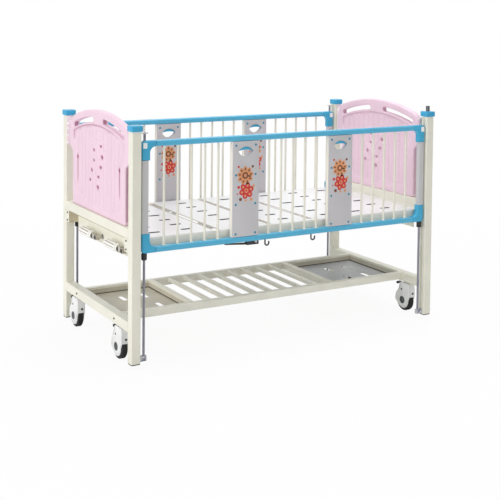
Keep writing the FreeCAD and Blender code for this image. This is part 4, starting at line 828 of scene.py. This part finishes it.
grip = {
    "flutes": 8, "deep": 0.0026, "narrow": 1.9, "soft": 0.6, "plain": 0.05, "fade": 0.04, "tip": 0.06,
    "tipShare": 0.62, "longer": 0.042, "thicker": 0.0022,
    # bright collar between two dark lines: (radius, distance in front of the grip)
    "collar": [(0.0178, 0.0222), (0.0190, 0.0205), (0.0190, 0.0045), (0.0178, 0.0030)],
    "lines": [[(0.0160, 0.0031), (0.0160, 0.0004)], [(0.0164, 0.0240), (0.0164, 0.0221)]],
    "boltIn": 0.014, "bolt": [(0.0105, -0.0002), (0.0102, 0.0020), (0.0060, 0.0036), (0.0010, 0.0040)],
}
for name in ("back", "knee"):
    low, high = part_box(name + "_crank_grip")
    high.y += grip["longer"]
    cx, cz, r = (low.x + high.x) / 2, (low.z + high.z) / 2, (high.z - low.z) / 2
    s, t = np.linspace(0, 1, 34), np.linspace(0, 2 * math.pi, grip["flutes"] * 8, endpoint=False)
    # radius less a flute wave round the axis, which fades out towards two plain round ends
    fromMiddle = np.abs(s - 0.5)
    valley = np.clip(1 - np.abs(np.sin(t * grip["flutes"] / 2)) * grip["narrow"], 0, 1) ** grip["soft"]
    fade = np.clip((0.5 - fromMiddle - grip["plain"]) / grip["fade"], 0, 1)
    end = np.sqrt(np.clip(1 - (np.clip(fromMiddle - 0.5 + grip["tip"], 0, 1) / grip["tip"]) ** 2, 0, 1))
    flute = fade[:, None] * valley[None]
    full = grip["tipShare"] + (1 - grip["tipShare"]) * end
    radius = (r + grip["thicker"]) * full[:, None] - grip["deep"] * flute
    along = np.broadcast_to((low.y + s * (high.y - low.y))[:, None], radius.shape)
    sleeve = closedRows(list(np.stack([cx + radius * np.cos(t), along, cz + radius * np.sin(t)], -1)))
    # the flute depth also feeds the groove attribute: painted shade in the valleys
    makePiece(name + "CrankGripSleeve", [sleeve + (0, flute.ravel())], [gripCream], name + "_grip",
              [name + "_crank_grip"], shade="groove")
    collars = [knob("Y", cx, cz, low.y, -1, grip["collar"], 32)]
    collars += [knob("Y", cx, cz, low.y, -1, line, 32) + (1,) for line in grip["lines"]]
    makePiece(name + "CrankCollar", collars, [collarWhite, collarLine], name + "_spindle")
    # black bolt in the middle of the hub
    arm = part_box(name + "_crank_arm")[0]
    bolt = knob("X", arm.y + grip["boltIn"], cz, arm.x, -1, grip["bolt"], 20)
    makePiece(name + "HubBolt", [bolt], [blackMoulded], name + "_arm")
print("grips made")

caster = {
    "treadGrooves": 5, "grooveDeep": 0.0020, "grooved": 0.82, "crownFrom": 0.78, "crownDrop": 0.004,
    # wheel side: (radius, depth below the side face)
    "web": [(0.0051, 0.0), (0.018, 0.0), (0.022, 0.004), (0.046, 0.004), (0.050, 0.0)],
    "stemBack": 0.020, "shellIn": 0.0025, "cheek": 0.0175, "roll": 0.0065, "corner": 0.003, "coverCorner": 0.012,
    # arcs round the wheel's middle: (radius, first and last angle in degrees)
    "cover": (0.049, -42, -180), "fender": (0.0675, 56, -8), "pocket": (0.0645, -9, 157), "notchHalf": 0.013,
    # neck from the front of the opening over the top to the fender: (back from the stem, depth below the top)
    "neck": [(-0.041, 0.079), (-0.0425, 0.055), (-0.041, 0.030), (-0.037, 0.012), (-0.027, 0.0015), (-0.015, 0.0),
             (0.026, 0.0), (0.040, 0.002), (0.0485, 0.008), (0.0515, 0.018)],
    # hub cap and screw heads: (radius, height above the cheek)
    "capSink": 0.0030, "capRim": [(0.0330, 0.0), (0.0325, 0.0012), (0.0290, 0.0016), (0.0225, 0.0008)],
    "capDome": [(0.0212, 0.0), (0.0212, 0.0020), (0.0200, 0.0030), (0.0140, 0.0030), (0.0128, 0.0023),
                (0.003, 0.0023)],
    "screw": [(0.0060, 0.0), (0.0060, 0.0010), (0.0036, 0.0014)], "screwAt": (0.027, 0.124),
    "frontScrew": [(0.0060, 0.0), (0.0060, 0.0035), (0.0036, 0.0040)], "frontScrewAt": (0.004, 0.040, 0.108),
    "pivotBack": 0.030, "notch": (-0.009, 0.010, -0.009),
}
pedal = {
    "long": 0.056, "wide": 0.0224, "corner": 0.004, "from": -0.0035, "to": 0.0045, "round": 0.001,
    "eyeAt": 0.034, "eye": (0.011, 0.013, 0.003), "lipHalf": 0.0115, "lipCorner": 0.003,
    "lip": [(0.004, -0.008), (0.006, 0.001), (-0.003, 0.0062), (-0.018, 0.0048), (-0.008, -0.009)],
    "barrel": [(0.0060, -0.0120), (0.0072, -0.0110), (0.0072, 0.0110), (0.0060, 0.0120)],
}


def cheekPart(outline, inner, outer, roll):
    # outline carried outwards and set in by roll(1 - sin t) at the outer rim only
    t = np.linspace(0, math.pi / 2, 5)
    ins = np.concatenate([[0.0], roll * (1 - np.sin(t))[::-1]])
    out = math.copysign(1, outer - inner)
    depth = np.concatenate([[inner], (outer - out * roll * (1 - np.cos(t)))[::-1]])
    return closedRows([onAxis("X", inset(outline, s), d) for s, d in zip(ins, depth)])


for place in ("foot_near", "foot_far", "head_near", "head_far"):
    c, body, title = caster, "caster_" + place, "caster" + place.title().replace("_", "")
    low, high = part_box(body + "_wheel")
    cx, cy, cz, r = (low.x + high.x) / 2, (low.y + high.y) / 2, (low.z + high.z) / 2, (high.z - low.z) / 2
    h = (high.x - low.x) / 2
    hoodLow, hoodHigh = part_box(body + "_hood")
    pedalLow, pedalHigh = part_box(body + "_pedal")
    wide = (hoodHigh.x - hoodLow.x) / 2 - c["shellIn"]
    stem, top = cy - c["stemBack"], hoodHigh.z
    # tread: crown with round-bottomed grooves, radius r - deep cos^2 across the width
    across = np.linspace(-1, 1, 61)
    crown = r - c["crownDrop"] * np.clip(np.abs(across) - c["crownFrom"], 0, 1) / (1 - c["crownFrom"])
    wave = np.clip(np.cos(across * math.pi * c["treadGrooves"]), 0, 1) ** 2
    crown -= c["grooveDeep"] * wave * (np.abs(across) < c["grooved"])
    profile = [(a, -h + d) for a, d in c["web"]] + list(zip(crown, across * h))
    profile += [(a, h - d) for a, d in c["web"][::-1]]
    wheel = ringRound("X", cy, cz, [(a, cx + d) for a, d in profile])
    makePiece(title + "Wheel", [wheel], [tread], body + "_roller", [body + "_wheel"])
    # cheeks: neck, fender and the round cover beside the wheel
    neck = [(stem + a, top - b) for a, b in c["neck"]]
    fender, cover = arc(cy, cz, *c["fender"], 12), arc(cy, cz, *c["cover"], 26)
    cheek = np.concatenate([neck, fender, cover])[::-1]
    joins = (len(cover) - 1, len(cover))
    cheek = roundCorners(cheek, [c["coverCorner"] if i in joins else c["corner"] for i in range(len(cheek))], 4)
    shell = [cheekPart(anticlockwise(cheek), cx + s * c["cheek"], cx + s * wide, c["roll"]) for s in signs]
    # middle: over the wheel from the opening round to the back of the fender, notched for the pedal
    pocket = arc(cy, cz, *c["pocket"], 30)
    over = np.concatenate([neck, fender, pocket])
    shell += [pillow("X", over, cx + s * c["notchHalf"], cx + s * c["cheek"]) for s in signs]
    pivotY, pivotZ = stem + c["pivotBack"], (pedalLow.z + pedalHigh.z) / 2
    y0, y1, z0 = pivotY + c["notch"][0], pivotY + c["notch"][1], pivotZ + c["notch"][2]
    middle = [q for q in neck if q[0] < y0] + [(y0, top), (y0, z0), (y1, z0)]
    middle = np.concatenate([middle, fender, pocket])
    shell.append(pillow("X", middle, cx - c["notchHalf"], cx + c["notchHalf"]))
    for s, face in ((-1, hoodLow.x), (1, hoodHigh.x)):
        inner = face - s * c["capSink"]
        shell += [knob("X", cy, cz, inner, s, c["capRim"], 48), knob("X", cy, cz, inner, s, c["capDome"], 40) + (1,),
                  knob("X", stem + c["screwAt"][0], c["screwAt"][1], inner, s, c["screw"], 14) + (2,)]
    aside, ahead, z = c["frontScrewAt"]
    shell.append(knob("Y", cx + aside, z, stem - ahead, -1, c["frontScrew"], 14) + (2,))
    # pedal: rounded plate with an eye, a deep lip at its end and the pivot barrel
    p, tip = pedal, pivotY + pedal["long"]
    lip = roundCorners([(tip + a, pivotZ + b) for a, b in p["lip"]], [p["lipCorner"]] * len(p["lip"]))
    pedalParts = [slab("Z", cx, (pivotY + tip) / 2, p["wide"], p["long"], p["corner"], pivotZ + p["from"],
                       pivotZ + p["to"], p["round"], [roundRect(cx, pivotY + p["eyeAt"], *p["eye"])]),
                  pillow("X", lip, cx - p["lipHalf"], cx + p["lipHalf"], p["round"]),
                  knob("X", pivotY, pivotZ, cx, 1, p["barrel"], 24)]
    makePiece(title + "Pedal", pedalParts, [blackMoulded], body + "_brake", [body + "_pedal"])
    makePiece(title + "Hood", shell, [casterWhite, hubGrey, blackMoulded], body + "_fork", [body + "_hood"], sharp=40)
print("casters made")

# strip behind each ear and a plate with four round bosses on the post's inner face
ear = {"behind": 0.0135, "thick": 0.004, "low": 0.990, "high": 1.122, "corner": 0.003, "lap": 0.002, "round": 0.001,
       "plate": (0.9192, 0.888), "plateThick": 0.0025, "plateLow": 0.986, "plateHigh": 1.1465, "plateCorner": 0.004,
       "plateRound": 0.0008, "bosses": (0.999, 1.038, 1.075, 1.103), "bossX": 0.9095,
       "boss": [(0.0062, -0.0005), (0.0062, 0.0022), (0.00496, 0.0040), (0.00217, 0.0050)]}
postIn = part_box("ear_brackets")[1].y
halfEar = endPanel["halfEar"]
strips = []
for sx in signs:
    outer = sx * (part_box("head_panel")[1].x - ear["behind"])
    plateX, plateWide = sx * sum(ear["plate"]) / 2, ear["plate"][0] - ear["plate"][1]
    for sy in signs:
        strips.append(slab("X", sy * (halfEar + postIn) / 2, (ear["low"] + ear["high"]) / 2,
                           postIn - halfEar + ear["lap"], ear["high"] - ear["low"], ear["corner"],
                           outer - sx * ear["thick"], outer, ear["round"]))
        face = sy * (postIn - ear["plateThick"])
        strips.append(slab("Y", plateX, (ear["plateLow"] + ear["plateHigh"]) / 2, plateWide,
                           ear["plateHigh"] - ear["plateLow"], ear["plateCorner"], sy * postIn, face,
                           ear["plateRound"]) + (1,))
        strips += [knob("Y", sx * ear["bossX"], z, face, -sy, ear["boss"], 20) for z in ear["bosses"]]
makePiece("earStrips", strips, [labelWhite, earPink], "frame", ["ear_brackets"])

# painted shadow strips: dark strips under the upper beams and round the tray floors, where shade falls
shadowStrip = {"tall": 0.0028, "proud": 0.0003, "sunk": 0.002, "corner": 0.0008, "trayTall": 0.0045, "trayWide": 0.0035,
         "trayUp": 0.0014, "trayIn": 0.0015, "trayCorner": 0.0005, "footEnd": -0.5015, "headEnd": 0.4075}
beamLow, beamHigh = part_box("upper_beams")
trayLow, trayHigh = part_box("shelf_trays")
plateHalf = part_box("end_plates")[1].y
shadowStrips = []
for sx, trayEnd in ((-1, shadowStrip["footEnd"]), (1, shadowStrip["headEnd"])):
    shadowStrips.append(slab("X", 0, beamLow.z + shadowStrip["tall"] / 2, 2 * plateHalf, shadowStrip["tall"], shadowStrip["corner"],
                       sx * (beamHigh.x + shadowStrip["proud"]), sx * (beamHigh.x - shadowStrip["sunk"])))
    start = sx * (trayHigh.x - shadowStrip["trayIn"])
    middle, long, wide = (start + trayEnd) / 2, abs(start - trayEnd), 2 * (trayHigh.y - shadowStrip["trayIn"])
    floorZ, w = trayLow.z + shadowStrip["trayUp"], 2 * shadowStrip["trayWide"]
    bare = roundRect(middle, 0, long - w, wide - w, shadowStrip["trayCorner"])
    shadowStrips.append(slab("Z", middle, 0, long, wide, shadowStrip["trayCorner"], floorZ, floorZ + shadowStrip["trayTall"], 0,
                       [bare]) + (1,))
makePiece("paintedShadowStrips", shadowStrips, [beamShadowTan, trayShadowBrown], "frame")

# dark bar with an eye under the knee nut tube, where the lever's pin rides
bar = {"from": (-0.330, 0.5180), "to": (-0.165, 0.5075), "half": 0.0060, "taper": 0.4, "wide": 0.005, "round": 0.0006,
       "eye": 0.0085, "eyeHole": 0.45, "eyeUp": 0.0002}
tubeLow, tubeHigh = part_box("knee_push_tube")
y = (tubeLow.y + tubeHigh.y) / 2
span = (y - bar["wide"], y + bar["wide"], bar["round"])
a, b = np.array(bar["from"]), np.array(bar["to"])
side = np.array([-(b - a)[1], (b - a)[0]]) / np.linalg.norm(b - a) * bar["half"]
narrow = side * bar["taper"]
eyeZ = tubeLow.z + bar["eye"] + bar["eyeUp"]
eye, hole = (arc(bar["to"][0], eyeZ, bar["eye"] * share, 0, 345, 24) for share in (1, bar["eyeHole"]))
link = [pillow("Y", np.array([a - narrow, b - side, b + side, a + narrow]), *span), pillow("Y", eye, *span, [hole])]
makePiece("kneeLinkBar", link, [blackMoulded], "knee_nut_tube")
print("strips made")

deck = {"leg": {"columns": (-0.735, -0.555), "body": "leg_section"},
        "thigh": {"columns": (-0.265,), "body": "thigh_section"},
        "seat": {"columns": (0.019,), "body": "frame"},
        "back": {"columns": (0.290, 0.495, 0.700), "body": "back_section"}}
opening = {"rows": (0.065, 0.195, 0.325), "long": 0.0518, "wide": 0.0098, "corner": 0.0048, "lip": 0.006,
           "rim": 0.0064, "wall": 0.0009, "rimLow": -0.0001, "rimHigh": 0.0004}
seam = {"strip": 0.009, "corner": 0.001, "inset": 0.037, "hinge": 0.012, "knee": (-0.442, -0.418), "low": -0.0002,
        "high": 0.0003}
seatLow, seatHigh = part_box("deck_seat")
deckTop, deckHalf = seatHigh.z, seatHigh.y
# sheet edges at the seams with the side each strip lies on; strips stay inside the side tubes
seams = {"leg": [(seam["knee"][0], -1)], "thigh": [(seam["knee"][1], 1), (seatLow.x - seam["hinge"], -1)],
         "seat": [(seatLow.x, 1), (seatHigh.x, -1)], "back": [(seatHigh.x + seam["hinge"], 1)]}
for title, part in deck.items():
    lips = []
    for x in part["columns"]:
        for y in [s * row for s in signs for row in opening["rows"]]:
            # rim: flat ring round the slot, wall: thin ring turned down into it; both near-black, painted shade in
            # and round the slot
            hole = anticlockwise(roundRect(x, y, opening["long"], opening["wide"], opening["corner"], 6))
            clear, level = [inset(hole, opening["wall"])], deckTop + opening["rimLow"]
            lips.append(pillow("Z", inset(hole, -opening["rim"]), level, deckTop + opening["rimHigh"], 0, clear))
            lips.append(pillow("Z", hole, deckTop - opening["lip"], level, 0, clear))
    makePiece(title + "SlotShadeLips", lips, [slotShade], part["body"])
    strips = [slab("Z", x + s * seam["strip"] / 2, 0, seam["strip"], 2 * (deckHalf - seam["inset"]), seam["corner"],
                   deckTop + seam["low"], deckTop + seam["high"]) for x, s in seams[title]]
    makePiece(title + "SeamStrips", strips, [seamBeige], part["body"])

# wire hooks: straight down, half a turn towards the head and a short way up again
hook = {"wire": 0.0040, "drop": 0.056, "bend": 0.0115, "tip": 0.009, "aside": 0.0025, "footAt": 0.0065,
        "headAt": -0.0205}
low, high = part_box("utility_hooks")
t = np.linspace(math.pi, 2 * math.pi, 15)
bend, bottom = hook["bend"], high.z - hook["drop"]
hooks = []
for x in (low.x + hook["footAt"], high.x + hook["headAt"]):
    for y in (low.y + hook["aside"], high.y - hook["aside"]):
        curl = np.stack([x + bend * (1 + np.cos(t)), np.full(len(t), y), bottom + bend * np.sin(t)], 1)
        path = np.concatenate([[[x, y, high.z]], curl, [[x + 2 * bend, y, bottom + hook["tip"]]]])
        hooks.append(tubeAlong(path, hook["wire"]))
makePiece("utilityHooks", hooks, [hookBlack], "frame", ["utility_hooks"])
print("deck details made")

# pale floor that fades to white away from the cot for the camera and stays matte for the light
ground = {"radius": 40.0, "down": 0.0005, "matte": 0.94, "near": 0.93, "fadeFrom": 1.0, "fadeTo": 4.0}
floorMesh = bpy.data.meshes.new("floor")
floorMesh.from_pydata(onAxis("Z", arc(0, 0, ground["radius"], 0, 360, 65)[:-1], -ground["down"]).tolist(), [],
                      [list(range(64))])
floor = bpy.data.objects.new("floor", floorMesh)
bpy.context.scene.collection.objects.link(floor)
floorLook = bpy.data.materials.new("paleFloor")
floorLook.use_nodes = True
tree = floorLook.node_tree
tree.nodes.clear()
place = addNode(tree, "TexCoord").outputs["Object"]
away = addNode(tree, "VectorMath", {0: place}, operation="LENGTH").outputs["Value"]
fade = addNode(tree, "MapRange", {"Value": away, "From Min": ground["fadeFrom"], "From Max": ground["fadeTo"],
                                  "To Min": ground["near"], "To Max": 1.0}).outputs["Result"]
rays = addNode(tree, "LightPath").outputs
seen = addNode(tree, "Math", {0: rays["Is Camera Ray"], 1: fade}, operation="MULTIPLY").outputs["Value"]
matte = addNode(tree, "BsdfDiffuse", {"Color": (ground["matte"],) * 3 + (1,)}).outputs["BSDF"]
glow = addNode(tree, "Emission", {"Color": (1, 1, 1, 1)}).outputs["Emission"]
mix = addNode(tree, "MixShader", {"Fac": seen, 1: matte, 2: glow}).outputs["Shader"]
addNode(tree, "OutputMaterial", {"Surface": mix})
floorMesh.materials.append(floorLook)

# white for the camera and in reflections, a softer light on the surfaces
scene = bpy.context.scene
world = bpy.data.worlds.new("studio")
scene.world = world
world.use_nodes = True
tree = world.node_tree
tree.nodes.clear()
rays = addNode(tree, "LightPath").outputs
seen = rays["Is Camera Ray"]
for ray in ("Is Glossy Ray", "Is Transmission Ray"):
    seen = addNode(tree, "Math", {0: seen, 1: rays[ray]}, operation="MAXIMUM").outputs["Value"]
soft = addNode(tree, "Background", {"Color": (0.99, 0.99, 1.0, 1), "Strength": 0.54}).outputs["Background"]
white = addNode(tree, "Background", {"Color": (1, 1, 1, 1), "Strength": 1.0}).outputs["Background"]
mix = addNode(tree, "MixShader", {"Fac": seen, 1: soft, 2: white}).outputs["Shader"]
addNode(tree, "OutputWorld", {"Surface": mix})

lamps = {
    "key": {"at": (-9.2, -1.0, 4.8), "aim": (0.0, 0.0, 0.8), "size": 4.0, "power": 268},
    "low": {"at": (-7.5, -2.6, 0.45), "aim": (0.0, 0.0, 0.3), "size": 1.6, "power": 88},
    "front": {"at": (1.6, -5.2, 2.4), "aim": (0.2, 0.0, 0.7), "size": 3.0, "power": 6},
    "top": {"at": (0.9, 0.3, 4.4), "aim": (0.3, 0.0, 0.5), "size": 3.4, "power": 88},
}


def placed(right, up, back, at):
    # matrix whose columns are the three axes and the place
    m = Matrix((right, up, back)).transposed().to_4x4()
    m.translation = Vector(at)
    return m


for name, lamp in lamps.items():
    data = bpy.data.lights.new(name + "Lamp", "AREA")
    data.shape = "DISK"
    data.size = lamp["size"]
    data.energy = lamp["power"]
    holder = bpy.data.objects.new(name + "Lamp", data)
    bpy.context.scene.collection.objects.link(holder)
    # third axis from the aim back to the lamp, first axis level
    back = (Vector(lamp["at"]) - Vector(lamp["aim"])).normalized()
    right = Vector((0, 0, 1)).cross(back).normalized()
    holder.matrix_world = placed(right, back.cross(right), back, lamp["at"])

view = {"at": (-2.8826, -4.9698, 1.7064), "turn": -30.10, "lift": 2.61, "roll": 0.574, "focus": 1032.0,
        "centre": (250.5, 62.4), "frame": 500.0, "sensor": 36.0, "clipEnd": 200}
a, e, w = (math.radians(view[k]) for k in ("turn", "lift", "roll"))
back = Vector((math.sin(a) * math.cos(e), -math.cos(a) * math.cos(e), math.sin(e)))
right = Vector((math.cos(a), math.sin(a), 0))
up = back.cross(right)
tiltRight = right * math.cos(w) + up * math.sin(w)
tiltUp = up * math.cos(w) - right * math.sin(w)
lens = bpy.data.cameras.new("camera")
lens.sensor_width = view["sensor"]
lens.lens = view["sensor"] * view["focus"] / view["frame"]
lens.shift_x = (view["frame"] / 2 - view["centre"][0]) / view["frame"]
lens.shift_y = (view["centre"][1] - view["frame"] / 2) / view["frame"]
lens.clip_end = view["clipEnd"]
camera = bpy.data.objects.new("camera", lens)
camera.matrix_world = placed(tiltRight, tiltUp, back, view["at"])
scene.collection.objects.link(camera)
scene.camera = camera
scene.view_settings.view_transform = "Standard"
print("floor, light and camera set")
